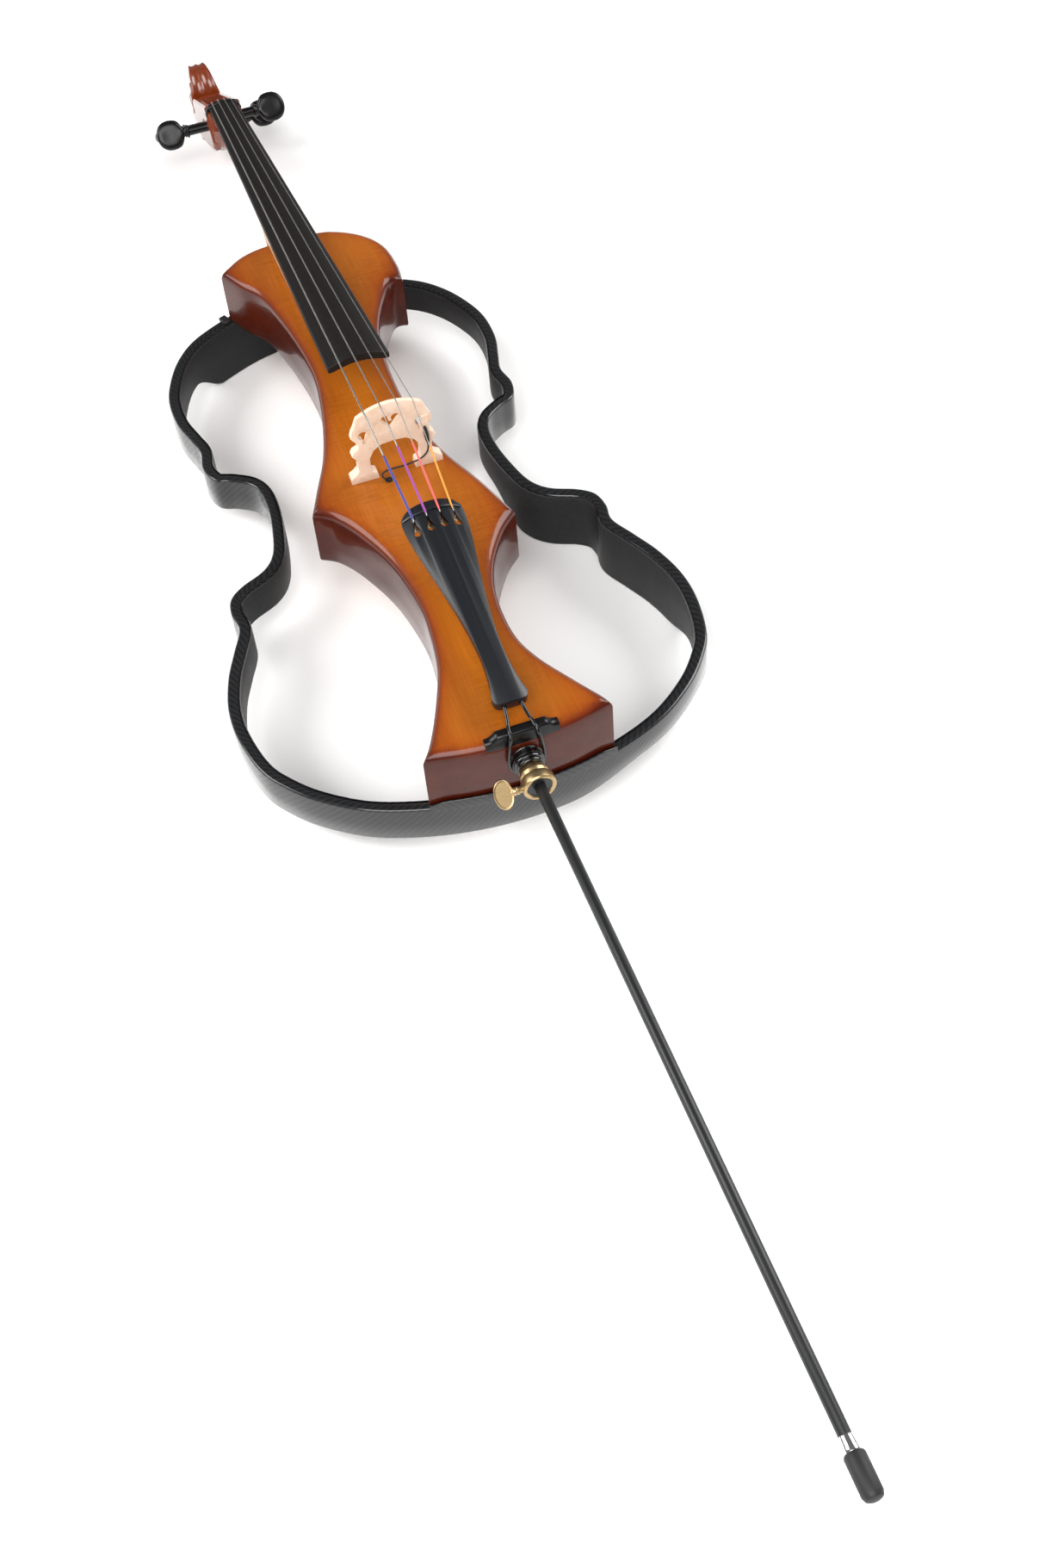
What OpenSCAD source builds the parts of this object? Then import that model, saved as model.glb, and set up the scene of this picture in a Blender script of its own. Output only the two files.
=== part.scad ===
// Electric cello: a narrow solid maple core inside a carbon-fibre outline frame.
// Millimetres. +X is the treble side, +Y points to the scroll, +Z leaves the front.
// It lies on its back: z = 0 is the lowest edge of the frame.

/* [Strings] */
// Free string length from nut to bridge
string_length = 690; // [680:1:700]
// Height of the middle strings over the body at the bridge
string_height = 84; // [80:0.5:88]
// Spread of the outer strings at the bridge
bridge_spread = 47; // [44:0.5:50]
// Spread of the outer strings at the nut
nut_spread = 22.4; // [21:0.2:24]
// Spread of the outer strings at the tailpiece
tail_spread = 37.2; // [34:0.2:40]

/* [Body core] */
// Thickness of the wooden core
core_depth = 66; // [60:1:70]
// Depth of the back pocket for the electronics
pocket_depth = 26; // [22:1:28]
// Radius of the bore that the endpin slides into
rod_bore_r = 6.5; // [6:0.1:8]

/* [Frame] */
// Width of the band, seen from the front
band_w = 12; // [10:0.5:14]
// Depth of the band where it is plain
band_depth = 40; // [36:1:44]
// Extra depth of the band where it meets the chest and the knee
lobe_depth = 27; // [20:1:30]
// Height of the lip that hides the foot of the core
lip_h = 8; // [5:0.5:10]

/* [Fingerboard and neck] */
// Width of the fingerboard at the nut
board_w_nut = 31.8; // [30:0.2:34]
// Width of the fingerboard at its free end
board_w_end = 62.2; // [58:0.2:66]
// Length of the fingerboard
board_l = 581; // [570:1:590]
// Angle that the pegbox leans back
head_angle = 26; // [22:0.5:30]

/* [Pegs] */
// Radius of a peg's shaft
peg_r = 5.5; // [5:0.1:6]
// Radial play of the pegs and other turning shafts
play = 0.05; // [0.03:0.01:0.08]

/* [Endpin] */
// Radius of the endpin rod
rod_r = 5; // [4.5:0.1:5.5]
// Length of rod that shows beyond the holder
rod_out = 598; // [500:1:600]
// Length of rod inside the holder and body
rod_in = 67; // [60:1:80]

/* [Hidden] */
$fn = 48;
eps = 0.01;

// ---- Places. The model is drawn with the bridge foot at 0, 0, 0 and then set down.
floor_gap = core_depth + band_depth + lobe_depth;
nut_y = sqrt(string_length * string_length - (string_height + 3) * (string_height + 3));
tip_y = -397 - rod_out - 33;
head_end_y = 869.12;
mid_y = (head_end_y + tip_y) / 2;

// ---- Curves
function catmull(a, b, c, d, t) =
    0.5 * (2 * b + (c - a) * t + (2 * a - 5 * b + 4 * c - d) * t * t
    + (3 * b - a - 3 * c + d) * t * t * t);
function open_curve(p, n) = [for (i = [0:len(p) - 2]) for (k = [0:n - 1])
    catmull(p[max(i - 1, 0)], p[i], p[i + 1], p[min(i + 2, len(p) - 1)], k / n)];
function closed_curve(p, n) = let (m = len(p)) [for (i = [0:m - 1]) for (k = [0:n - 1])
    catmull(p[(i + m - 1) % m], p[i], p[(i + 1) % m], p[(i + 2) % m], k / n)];
function unit(v) = v / norm(v);
function ease(a, b, v) = let (t = max(0, min(1, (v - a) / (b - a)))) t * t * (3 - 2 * t);
function backwards(p) = [for (i = [len(p) - 1:-1:0]) p[i]];
function flipped(p) = [for (q = p) [-q[0], q[1]]];
// A closed clockwise outline moved inwards
function inset(p, d) = let (m = len(p)) [for (i = [0:m - 1])
    let (t = unit(p[(i + 1) % m] - p[(i + m - 1) % m])) p[i] + d * [t[1], -t[0]]];

// A round tube along points; ref is any direction that the path never follows
module tube(path, r, ref, sides = 8) {
    last = len(path) - 1;
    rings = [for (i = [0:last])
        let (t = unit(path[min(i + 1, last)] - path[max(i - 1, 0)]),
             u = unit(cross(t, ref)), w = cross(t, u))
        for (k = [0:sides - 1])
            path[i] + r * (cos(360 * k / sides) * u + sin(360 * k / sides) * w)];
    walls = [for (i = [0:last - 1]) for (k = [0:sides - 1])
        let (a = i * sides + k, b = i * sides + (k + 1) % sides)
        each [[a, b + sides, b], [a, a + sides, b + sides]]];
    start = [for (k = [0:sides - 1]) k];
    end = [for (k = [sides - 1:-1:0]) last * sides + k];
    polyhedron(points = rings, faces = concat(walls, [start, end]), convexity = 6);
}

// ---- Outlines, seen from the front
// Half of the frame's outer line, from the top centre clockwise to the bottom centre
frame_half = [[0, 398], [48, 391], [85, 378], [125, 356], [149, 330], [165, 299], [174, 267],
    [174, 230], [167, 200], [162, 178], [165.5, 153], [159, 131], [143, 122], [127, 110],
    [120, 93], [119.5, 67], [124, 36], [132, 6], [146, -12], [171, -25], [185, -38],
    [189, -57], [187, -78], [199, -105], [212, -135], [221, -171], [221.5, -208], [213, -250],
    [198, -277], [174, -304], [137, -331], [92, -349], [46, -359.5], [0, -363]];
frame_left = [for (i = [len(frame_half) - 2:-1:1]) [-frame_half[i][0], frame_half[i][1]]];
frame_outer = closed_curve(concat(frame_half, frame_left), 2);
frame_inner = inset(frame_outer, band_w);
core_top = [[-81, 369], [-54, 389], [-21, 397], [31, 397], [57, 388], [80, 369], [94, 343],
    [97, 308], [94, 282]];
core_right_up = [[94, 282], [79, 281], [61, 250], [47, 211], [40, 162], [38, 105], [42, 55],
    [53, 7], [71, -43], [86, -94]];
core_right_low = [[86, -94], [67, -114], [46, -150], [35, -190], [34, -238], [44, -273],
    [65, -312], [79, -336], [84, -348]];
core_foot = [[84, -348], [45, -356.5], [0, -360], [-45, -356.5], [-86, -348]];
core_left_low = [[-86, -348], [-74, -329], [-57, -292], [-42, -250], [-35, -205], [-34, -168],
    [-42, -112], [-59, -63], [-75, -35], [-91, -23]];
core_left_up = [[-91, -23], [-77, 10], [-60, 50], [-46, 101], [-36, 160], [-36, 207],
    [-42, 262], [-52, 312], [-68, 341], [-81, 369]];
core_outline = concat(open_curve(core_top, 3), open_curve(core_right_up, 3),
    open_curve(core_right_low, 3), open_curve(core_foot, 2), open_curve(core_left_low, 3),
    open_curve(core_left_up, 3));

// ---- Electronics pocket and battery pocket, in the back of the core
pocket_x = 22;
pocket_y = [-250, -120];
battery_x = 34;
battery_y = [-340, -274];
cover_t = 2;
cover_rim = 4;
pot_x = 0;
volume_y = -150;
tone_y = -185;
jack_y = -228;
bolt_spots = [[-34, -355], [34, -355], [-30, 388.5], [30, 388.5]];
neck_bolt_y = [300, 350];
axis_z = -24;
grommet_at = [-11, -12];

module in_back_rebate(xh, ys) {
    translate([-xh - cover_rim, ys[0] - cover_rim, -core_depth - eps])
        cube([2 * (xh + cover_rim), ys[1] - ys[0] + 2 * cover_rim, cover_t + eps]);
}

module body_core() {
    color("#c06f22") set_down() difference() {
        translate([0, 0, -core_depth]) linear_extrude(core_depth) polygon(core_outline);
        // bore for the endpin, and the seat of its socket
        translate([0, 262, axis_z]) rotate([90, 0, 0]) cylinder(r = rod_bore_r, h = 700);
        translate([0, -312, axis_z]) rotate([90, 0, 0]) cylinder(r = 13, h = 60);
        // pockets
        translate([-pocket_x, pocket_y[0], -core_depth - 1])
            cube([2 * pocket_x, pocket_y[1] - pocket_y[0], pocket_depth + 1]);
        in_back_rebate(pocket_x, pocket_y);
        translate([-battery_x, battery_y[0], -core_depth - 1])
            cube([2 * battery_x, battery_y[1] - battery_y[0], pocket_depth + 1]);
        in_back_rebate(battery_x, battery_y);
        // saddle notch
        translate([-saddle_w / 2, -370, -saddle_sink]) cube([saddle_w, 370 - 349, 20]);
        // cable hole
        translate([grommet_at[0], grommet_at[1], -14]) cylinder(r = 2.5, h = 20);
        // frame and neck bolts
        for (p = bolt_spots) translate([p[0], p[1], -core_depth - 1]) cylinder(r = 2.6, h = 21);
        for (y = neck_bolt_y) translate([0, y, -core_depth - 1]) {
            cylinder(r = 3.2, h = 90);
            cylinder(r = 6.2, h = 7);
        }
        for (p = cover_spots) translate([p[0], p[1], -core_depth - 1]) cylinder(r = 1.5, h = 12);
    }
}

// ---- Frame
// Depth of the band's lower edge: deeper at the bass shoulder and at the treble knee
function band_low(p) =
    -core_depth - band_depth
    - lobe_depth * ease(-148, -108, p[0]) * (1 - ease(-30, 60, p[0])) * ease(230, 300, p[1])
    - lobe_depth * ease(90, 112, p[0]) * (1 - ease(4, 62, p[1])) * ease(-238, -160, p[1])
    + 6 * ease(60, 110, p[0]) * ease(150, 260, p[1])
    + 12 * ease(40, 120, p[0]) * (1 - ease(-300, -255, p[1]));

module carbon_frame() {
    m = len(frame_outer);
    sections = [for (i = [0:m - 1]) let (o = frame_outer[i], n = frame_inner[i], b = band_low(o))
        each [[o[0], o[1], -core_depth], [n[0], n[1], -core_depth], [n[0], n[1], b], [o[0], o[1], b]]];
    skin = [for (i = [0:m - 1]) for (k = [0:3])
        let (a = 4 * i + k, b = 4 * i + (k + 1) % 4, c = 4 * ((i + 1) % m) + (k + 1) % 4,
             d = 4 * ((i + 1) % m) + k) each [[a, c, b], [a, d, c]]];
    lip_outer = [for (p = frame_outer) if (p[1] < -345 && abs(p[0]) < 93) p];
    lip_inner = [for (p = lip_outer) p + [0, 2.2]];
    color("#2b2c2e") set_down() difference() {
        union() {
            polyhedron(points = sections, faces = skin, convexity = 12);
            translate([0, 0, -core_depth - 1]) linear_extrude(lip_h + 1)
                polygon(concat(lip_outer, backwards(lip_inner)));
        }
        for (p = bolt_spots) translate([p[0], p[1], -200]) {
            cylinder(r = 4.1, h = 200 - core_depth - 6);
            cylinder(r = 2.7, h = 200 - core_depth + 1);
        }
    }
}

module frame_brackets() {
    color("#151516") set_down() for (side = [[-87, 371.6, 22], [88, 372, -22]])
        translate([side[0], side[1], -core_depth]) rotate([0, 0, side[2]])
            translate([-4, -5, 0]) cube([8, 10, 4]);
}

module frame_bolts() {
    color("silver") set_down() for (p = bolt_spots) translate([p[0], p[1], -core_depth]) {
        translate([0, 0, -10]) cylinder(r = 4, h = 4);
        translate([0, 0, -6 - eps]) cylinder(r = 2.5, h = 22);
    }
}

// ---- Neck and head
board_end_y = nut_y - board_l;
board_low_end = 46;
board_low_nut = -13;
function board_low(y) = board_low_nut + (board_low_end - board_low_nut) * (nut_y - y) / board_l;
glue = 0.15;
// A D-shaped slice of the neck that hangs from the fingerboard
function d_slice(w, h) = concat([[-w / 2, 0]], [for (a = [180:15:360]) [w / 2 * cos(a), h * sin(a)]]);
module slice_at(y, w, h) {
    translate([0, y, board_low(y) - glue]) rotate([90, 0, 0]) linear_extrude(1) polygon(d_slice(w, h));
}
// Places things in the frame of the leaning pegbox, at the back of the nut
module head_frame() { translate([0, nut_y + 6, -8]) rotate([-head_angle, 0, 0]) children(); }
peg_s = [24, 82, 108, 46];
peg_side = [-1, -1, 1, 1];
peg_turn = [100, 20, 60, 78];
peg_out = [65, 62, 59, 62];
function peg_depth(i) = [24, 29, 33, 22][i];
head_top = [[16, -12], [21, -3], [21, 0], [20, 60], [19, 128], [18, 140], [14, 152], [10, 168], [9, 200]];
head_side = [[0.3, 0], [124, 0], [132, -6], [140, -11], [163, 6], [180, -15], [172, -24],
    [158, -34], [140, -44], [128, -48], [70, -52], [10, -54], [-8, -32],
    [-10.6, -10.2], [-3.1, -7.35], [2.5, -4.7]];
scroll_at = [163.3, 6.5];
scroll_r = 29;

module neck() {
    color("#d9b27f") set_down() difference() {
        union() {
            hull() {
                slice_at(nut_y - 6, 30, 19);
                slice_at(430, 44, 25);
            }
            hull() {
                slice_at(430, 44, 25);
                slice_at(406, 45, 60);
                slice_at(399.6, 45, 66);
            }
            hull() {
                translate([-20, 255, 0]) cube([40, 1, board_low(256) - glue]);
                translate([-22, 399, 0]) cube([44, 1, board_low(400) - glue]);
            }
            head_frame() intersection() {
                translate([0, 0, -100]) linear_extrude(140)
                    polygon(concat(head_top, backwards(flipped(head_top))));
                rotate([90, 0, 90]) translate([0, 0, -40]) linear_extrude(80) union() {
                    polygon(head_side);
                    translate(scroll_at) circle(r = scroll_r);
                }
            }
        }
        head_frame() {
            translate([0, 0, -42]) linear_extrude(60)
                polygon([[-13.5, 4.5], [13.5, 4.5], [11, 122], [-11, 122]]);
            translate([-13.5, 0, -3]) cube([27, 5, 20]);
            for (i = [0:3]) translate([-40, peg_s[i], -peg_depth(i)]) rotate([0, 90, 0])
                cylinder(r = peg_r + play, h = 80);
        }
        for (y = neck_bolt_y) translate([0, y, -1]) cylinder(r = 3, h = 13);
    }
}

module neck_bolts() {
    color("silver") set_down() for (y = neck_bolt_y) translate([0, y, -core_depth]) {
        cylinder(r = 6, h = 6);
        cylinder(r = 3, h = core_depth + 11);
    }
}

// Cross-section of the fingerboard: crowned, with a flat facet under the lowest string
function board_slice(w, crown) = concat([[-w / 2, 0], [-w / 2, 6]],
    [[-w * 0.22, 6 + crown * 0.86]],
    [for (k = [-2:10]) let (x = w / 2 * k / 10) [x, 6 + crown * (1 - (2 * x / w) * (2 * x / w))]],
    [[w / 2, 0]]);
module fingerboard() {
    color("#1c1b1c") set_down() hull() {
        translate([0, nut_y, board_low_nut]) rotate([90, 0, 0])
            linear_extrude(1) polygon(board_slice(board_w_nut, 2.6));
        translate([0, board_end_y + 1, board_low_end]) rotate([90, 0, 0])
            linear_extrude(1) polygon(board_slice(board_w_end, 7.6));
    }
}

nut_h = 9.7;
module nut() {
    color("#161616") set_down() translate([0, nut_y + 6, board_low_nut]) rotate([90, 0, 0])
        linear_extrude(6) polygon(concat([[-15.9, 0]],
            [for (k = [-8:8]) let (x = 15.9 * k / 8) [x, nut_h - x * x / 84]], [[15.9, 0]]));
}

// ---- Bridge
bridge_half = [[0, 40], [12, 39], [20, 34], [24.5, 26], [25, 16], [24, 9], [19, 6.5], [18, 0],
    [45, 0], [45, 6], [40, 9.5], [36.5, 13], [36, 24], [38, 29], [41, 33], [39, 37.5], [34, 40],
    [33, 44], [36, 49], [39.5, 54], [38, 60], [35, 66], [32.5, 73], [31, 76]];
bridge_crown = [for (k = [0:12]) let (x = 31 * (12 - k) / 12) [x, string_height + 0.6 - 9 * x * x / 961]];
bridge_right = concat(bridge_half, bridge_crown);
bridge_back = -5;
bridge_y = -3;

module bridge() {
    color("#e2c39c") set_down() intersection() {
        rotate([90, 0, 0]) translate([0, 0, -8]) linear_extrude(16) difference() {
            polygon(concat(bridge_right, backwards(flipped(bridge_right))));
            for (s = [-1, 1]) {
                translate([s * 27.5, 54]) circle(r = 5);
                translate([s * 26.5, 49]) rotate([0, 0, s * 14]) translate([-2, -5]) square([4, 8]);
                translate([s * 5, 66]) circle(r = 4.3);
            }
            polygon([[-8, 63.5], [8, 63.5], [0, 53]]);
        }
        rotate([90, 0, 90]) translate([0, 0, -60]) linear_extrude(120)
            polygon([[bridge_back, -1], [6, -1], [6, 4], [-1.5, string_height + 8],
                [bridge_back, string_height + 8]]);
    }
}

// ---- Tailpiece, drawn flat from its top edge and then leaned
tail_top = [0, -117, 60];
tail_lean = 9.7;
tail_t = 11;
tail_half = [[0, 0], [16, -0.5], [25, -4], [28.8, -12], [26.5, -40], [20, -80], [14, -120],
    [11, -152], [10.5, -178], [13, -202], [15.6, -214], [12, -221], [0, -222]];
module tail_frame() { translate(tail_top) rotate([tail_lean, 0, 0]) children(); }
function tail_slot_x(i) = (i - 1.5) * tail_spread / 3;
module tailpiece() {
    color("#1d1d20") set_down() tail_frame() difference() {
        intersection() {
            translate([0, 0, -tail_t]) linear_extrude(tail_t)
                polygon(concat(open_curve(tail_half, 3), backwards(flipped(open_curve(tail_half, 3)))));
            translate([0, 10, -46]) rotate([90, 0, 0]) cylinder(r = 46, h = 260, $fn = 128);
        }
        for (i = [0:3]) translate([tail_slot_x(i), -28, -20]) {
            cylinder(r = 3.4, h = 40);
            linear_extrude(40)
                polygon([[-3.2, 1], [3.2, 1], [1.2, 8], [1.2, 13.5], [-1.2, 13.5], [-1.2, 8]]);
        }
        for (s = [-1, 1]) translate([7.5 * s, -210, -6]) rotate([90, 0, 0]) cylinder(r = 1.8, h = 30);
    }
}

// The ridge that the strings leave from
module tailpiece_fret() {
    color("#26262a") set_down() tail_frame() difference() {
        translate([0, -7, -44.8]) rotate([90, 0, 0]) cylinder(r = 46, h = 3, $fn = 128);
        translate([0, -6, -46]) rotate([90, 0, 0]) cylinder(r = 46, h = 5, $fn = 128);
        translate([-60, -20, -100]) cube([120, 30, 91.5]);
    }
}

// ---- Saddle
saddle_w = 66;
saddle_sink = 8;
saddle_h = 8.5;
module saddle() {
    color("#151515") set_down() difference() {
        translate([-saddle_w / 2, -359.4, -saddle_sink])
            cube([saddle_w, 359.4 - 349, saddle_sink + saddle_h]);
        for (s = [-1, 1]) translate([s * (saddle_w / 2 + 4), -355, saddle_h + 2])
            rotate([90, 0, 0]) translate([0, 0, -20]) cylinder(r = 14, h = 40);
    }
}

// The cord that ties the tailpiece to the endpin socket: two strands over the saddle and a half
// turn under the socket
cord_r = 1.6;
cord_ring = 15.6;
cord_y = -364.2;
function strand(s) = [[7.5 * s, -324, 18.6], [7.5 * s, -334.5, 16.8],
    [9 * s, -345, 13], [10.2 * s, -350, 11],
    [11 * s, -355, 10.3], [11.6 * s, -359.5, 9.4], [12.4 * s, -362.8, 6], [13.4 * s, cord_y, 0],
    [14.8 * s, cord_y, -10], [cord_ring * s, cord_y, -18]];
cord_turn = [for (a = [180:15:360]) [cord_ring * cos(a), cord_y, axis_z + cord_ring * sin(a)]];
module tail_cord() {
    color("#0f0f10") set_down()
        tube(concat(strand(-1), cord_turn, backwards(strand(1))), cord_r, [1, 1, 0], 10);
}

// ---- Strings
string_r = [0.75, 0.62, 0.5, 0.4];
string_colour = ["#b9b7b4", "#bdbbb8", "#c2c0bd", "#c6c5c2"];
silk_colour = ["#3b3f8f", "#a85ab4", "#f07a6c", "#e9a637"];
function spread_x(i, w) = (i - 1.5) * w / 3;
function bridge_point(i) = [spread_x(i, bridge_spread), bridge_y,
    string_height + 0.6 - 9 * pow(spread_x(i, bridge_spread), 2) / 961 + string_r[i] - 0.3];
function nut_point(i) = let (x = spread_x(i, nut_spread))
    [x, nut_y + 2, board_low_nut + nut_h - x * x / 84 + string_r[i] - 0.3];
function nut_back(i) = nut_point(i) + [0, 4.6, -0.3];
function leaned(p) = [p[0], tail_top[1] + p[1] * cos(tail_lean) - p[2] * sin(tail_lean),
    tail_top[2] + p[1] * sin(tail_lean) + p[2] * cos(tail_lean)];
function tail_height(x, lift) = sqrt(46 * 46 - x * x) - 46 + lift;
function fret_point(i) = let (x = tail_slot_x(i)) leaned([x, -8.5, tail_height(x, 1.2) + string_r[i] - 0.3]);
function slot_lip(i) = let (x = tail_slot_x(i)) leaned([x, -14.8, tail_height(x, string_r[i])]);
function slot_point(i) = let (x = tail_slot_x(i)) leaned([x, -18, -13.4]);
// Where the string meets its winding in the pegbox
wind_r = 7.2;
function headed(p) = [p[0], nut_y + 6 + p[1] * cos(head_angle) + p[2] * sin(head_angle),
    -8 - p[1] * sin(head_angle) + p[2] * cos(head_angle)];
wind_x = [-7, -3, 3, 7];
function peg_point(i) = headed([wind_x[i], peg_s[i] - 2, -peg_depth(i) + wind_r + string_r[i] + 0.4]);
function along(a, b, t) = a + (b - a) * t;
function string_path(i) = [peg_point(i), along(peg_point(i), nut_back(i), 0.96), nut_back(i), nut_point(i),
    along(nut_point(i), bridge_point(i), 0.02), along(nut_point(i), bridge_point(i), 0.98),
    bridge_point(i), along(bridge_point(i), fret_point(i), 0.04),
    along(bridge_point(i), fret_point(i), 0.96), fret_point(i), slot_lip(i), slot_point(i)];

module one_string(i) {
    color(string_colour[i]) set_down() tube(string_path(i), string_r[i], [1, 0, 0]);
}
module string_c() { one_string(0); }
module string_g() { one_string(1); }
module string_d() { one_string(2); }
module string_a() { one_string(3); }

module one_silk(i) {
    a = along(bridge_point(i), fret_point(i), 0.38);
    b = along(bridge_point(i), fret_point(i), 0.93);
    color(silk_colour[i]) set_down() tube([a, along(a, b, 0.5), b], string_r[i] + 0.45, [1, 0, 0]);
}
module silk_c() { one_silk(0); }
module silk_g() { one_silk(1); }
module silk_d() { one_silk(2); }
module silk_a() { one_silk(3); }

module ball_ends() {
    color("#c9a45a") set_down() for (i = [0:3]) translate(slot_point(i)) sphere(r = 2.2);
}

// ---- Pegs
module one_peg(i) {
    color("#121213") set_down() head_frame() translate([0, peg_s[i], -peg_depth(i)])
        rotate([0, peg_side[i] > 0 ? 90 : -90, 0]) {
            translate([0, 0, -21]) cylinder(r = peg_r, h = peg_out[i] + 1);
            translate([0, 0, peg_out[i] - 22]) cylinder(r = 7.6, h = 2.5);
            translate([0, 0, peg_out[i] - 19.5 - eps]) cylinder(r = 6.4, h = 2.5);
            translate([0, 0, peg_out[i] - 20]) cylinder(r = 4.6, h = 8);
            rotate([0, 0, peg_turn[i]]) translate([-6, 0, peg_out[i]]) rotate([0, 90, 0])
                cylinder(r = 16, h = 12);
        }
}
module peg_c() { one_peg(0); }
module peg_g() { one_peg(1); }
module peg_d() { one_peg(2); }
module peg_a() { one_peg(3); }

module one_winding(i) {
    color(string_colour[i]) set_down() head_frame()
        translate([wind_x[i] - 2.5 - string_r[i], peg_s[i], -peg_depth(i)]) rotate([0, 90, 0])
            difference() {
                cylinder(r = wind_r, h = 5 + 2 * string_r[i]);
                translate([0, 0, -1]) cylinder(r = peg_r, h = 20);
            }
}
module winding_c() { one_winding(0); }
module winding_g() { one_winding(1); }
module winding_d() { one_winding(2); }
module winding_a() { one_winding(3); }

// ---- Pickup on the treble wing of the bridge
cable_path = [[31, -9, 29], [31, -9.5, 23], [28, -10, 17], [22, -10, 13], [13, -9.5, 10.5],
    [2, -9, 9.5], [-8, -8.5, 9.5], [-14, -9, 8.5], [-16.5, -10.5, 6.5], [-15, -12, 3.5],
    [-12, -12, 1.5], [-11, -12, -2], [-11, -12, -8]];
module pickup_element() {
    color("#cfae8a") set_down() translate([29, -7, 38]) cube([6, 2, 22]);
}
module pickup_sleeve() {
    color("#18181a") set_down() translate([31, -9, 46]) rotate([180, 0, 0]) cylinder(r = 2, h = 17);
}
module pickup_cable() {
    color("#141414") set_down() tube(cable_path, 0.9, [0, 1, 0]);
}
module cable_grommet() {
    color("#111111") set_down() translate([grommet_at[0], grommet_at[1], -6]) difference() {
        union() {
            cylinder(r = 2.5, h = 6);
            translate([0, 0, 6]) cylinder(r = 3.6, h = 1);
        }
        translate([0, 0, -1]) cylinder(r = 1.4, h = 10);
    }
}

// ---- Endpin, turned parts on an axis that runs down the middle of the core
module turned(points) { translate([0, 0, axis_z]) rotate([90, 0, 0]) rotate_extrude() polygon(points); }
module endpin_socket() {
    color("#101011") set_down() turned([[rod_bore_r, 313], [13, 313], [13, 361], [14.5, 361],
        [14.5, 361.5], [14, 362], [14, 366.5], [14.5, 367], [14.5, 368], [rod_bore_r, 368]]);
}
module endpin_rings() {
    color("#0e0e0f") set_down() turned([[rod_r + 2, 368], [13.6, 368], [14.2, 369.7], [13.6, 371.4],
        [12, 371.6], [12.8, 373.3], [12, 375], [rod_r + 2, 375]]);
}
module endpin_holder() {
    color("#b8935a") set_down() difference() {
        turned([[rod_r + play, 375], [9.5, 375], [11.2, 377.5], [12.8, 380.5], [13.2, 383], [12.4, 385.4],
            [12.2, 386.6], [14.2, 387.2], [14.8, 388.4], [14.8, 395.8], [14, 397], [12, 397],
            [11, 396], [11, 389], [rod_r + play, 389]]);
        thumb_bore();
    }
}
thumb_y = -392;
thumb_r = 3;
module thumb_bore() {
    translate([0, thumb_y, axis_z]) rotate([0, -90, 0]) cylinder(r = thumb_r + play, h = 30);
}
module holder_insert() {
    color("#1a1a1b") set_down() difference() {
        turned([[rod_r + play, 389], [11, 389], [11, 396], [10, 395.2], [rod_r + play, 395.2]]);
        thumb_bore();
    }
}
thumb_tilt = 42;
module thumb_screw() {
    color("#c39a5e") set_down() translate([0, thumb_y, axis_z]) rotate([0, -90, 0]) {
        translate([0, 0, 5.6]) cylinder(r = thumb_r, h = 12);
        translate([0, 0, 15.2]) cylinder(r = 3.8, h = 8.3);
        rotate([0, 0, thumb_tilt]) translate([0, 1.6, 31]) rotate([90, 0, 0]) {
            for (s = [-1, 1]) translate([s * 5, 0, 0]) cylinder(r = 8.6, h = 3.2);
            translate([-5, -8.6, 0]) cube([10, 17.2, 3.2]);
        }
    }
}
rod_end_y = -397 - rod_out;
module endpin_rod() {
    color("#3a3b3d") set_down() translate([0, -397 + rod_in, axis_z]) rotate([90, 0, 0])
        cylinder(r = rod_r, h = rod_out + rod_in);
}
module endpin_ferrule() {
    color("#c9c9cb") set_down() turned([[rod_r, -rod_end_y - 12], [5.7, -rod_end_y - 12],
        [6.4, -rod_end_y - 3], [6.4, -rod_end_y], [rod_r, -rod_end_y]]);
}
module endpin_tip() {
    color("#161617") set_down() turned([[0, -rod_end_y], [7.2, -rod_end_y], [8, -rod_end_y + 2],
        [8, 28 - rod_end_y], [6.6, 31.6 - rod_end_y], [3.4, 33 - rod_end_y], [0, 33 - rod_end_y]]);
}

// ---- Back covers and electronics
cover_spots = [for (x = [-1, 1]) for (y = [-1, 1])
    [x * (pocket_x + 2), y > 0 ? pocket_y[1] + 2 : pocket_y[0] - 2],
    for (x = [-1, 1]) for (y = [-1, 1])
    [x * (battery_x + 2), y > 0 ? battery_y[1] + 2 : battery_y[0] - 2]];
module cover_plate(xh, ys) {
    translate([-xh - cover_rim + 0.2, ys[0] - cover_rim + 0.2, -core_depth])
        cube([2 * (xh + cover_rim) - 0.4, ys[1] - ys[0] + 2 * cover_rim - 0.4, cover_t]);
}
module control_cover() {
    color("#1b1b1c") set_down() difference() {
        cover_plate(pocket_x, pocket_y);
        for (y = [volume_y, tone_y, jack_y]) translate([pot_x, y, -core_depth - 1])
            cylinder(r = y == jack_y ? 4.5 : 3.6, h = 5);
        for (p = cover_spots) translate([p[0], p[1], -core_depth - 1]) cylinder(r = 1.5, h = 5);
    }
}
module battery_cover() {
    color("#1b1b1c") set_down() difference() {
        cover_plate(battery_x, battery_y);
        for (p = cover_spots) translate([p[0], p[1], -core_depth - 1]) cylinder(r = 1.5, h = 5);
    }
}
module cover_screws() {
    color("#8d8f92") set_down() for (p = cover_spots) translate([p[0], p[1], -core_depth]) {
        translate([0, 0, -1]) cylinder(r = 2.4, h = 1);
        cylinder(r = 1.5, h = 9);
    }
}
module battery() {
    color("#3c3f44") set_down() translate([-24.25, -330, -core_depth + cover_t]) cube([48.5, 26.5, 17.5]);
}
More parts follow.
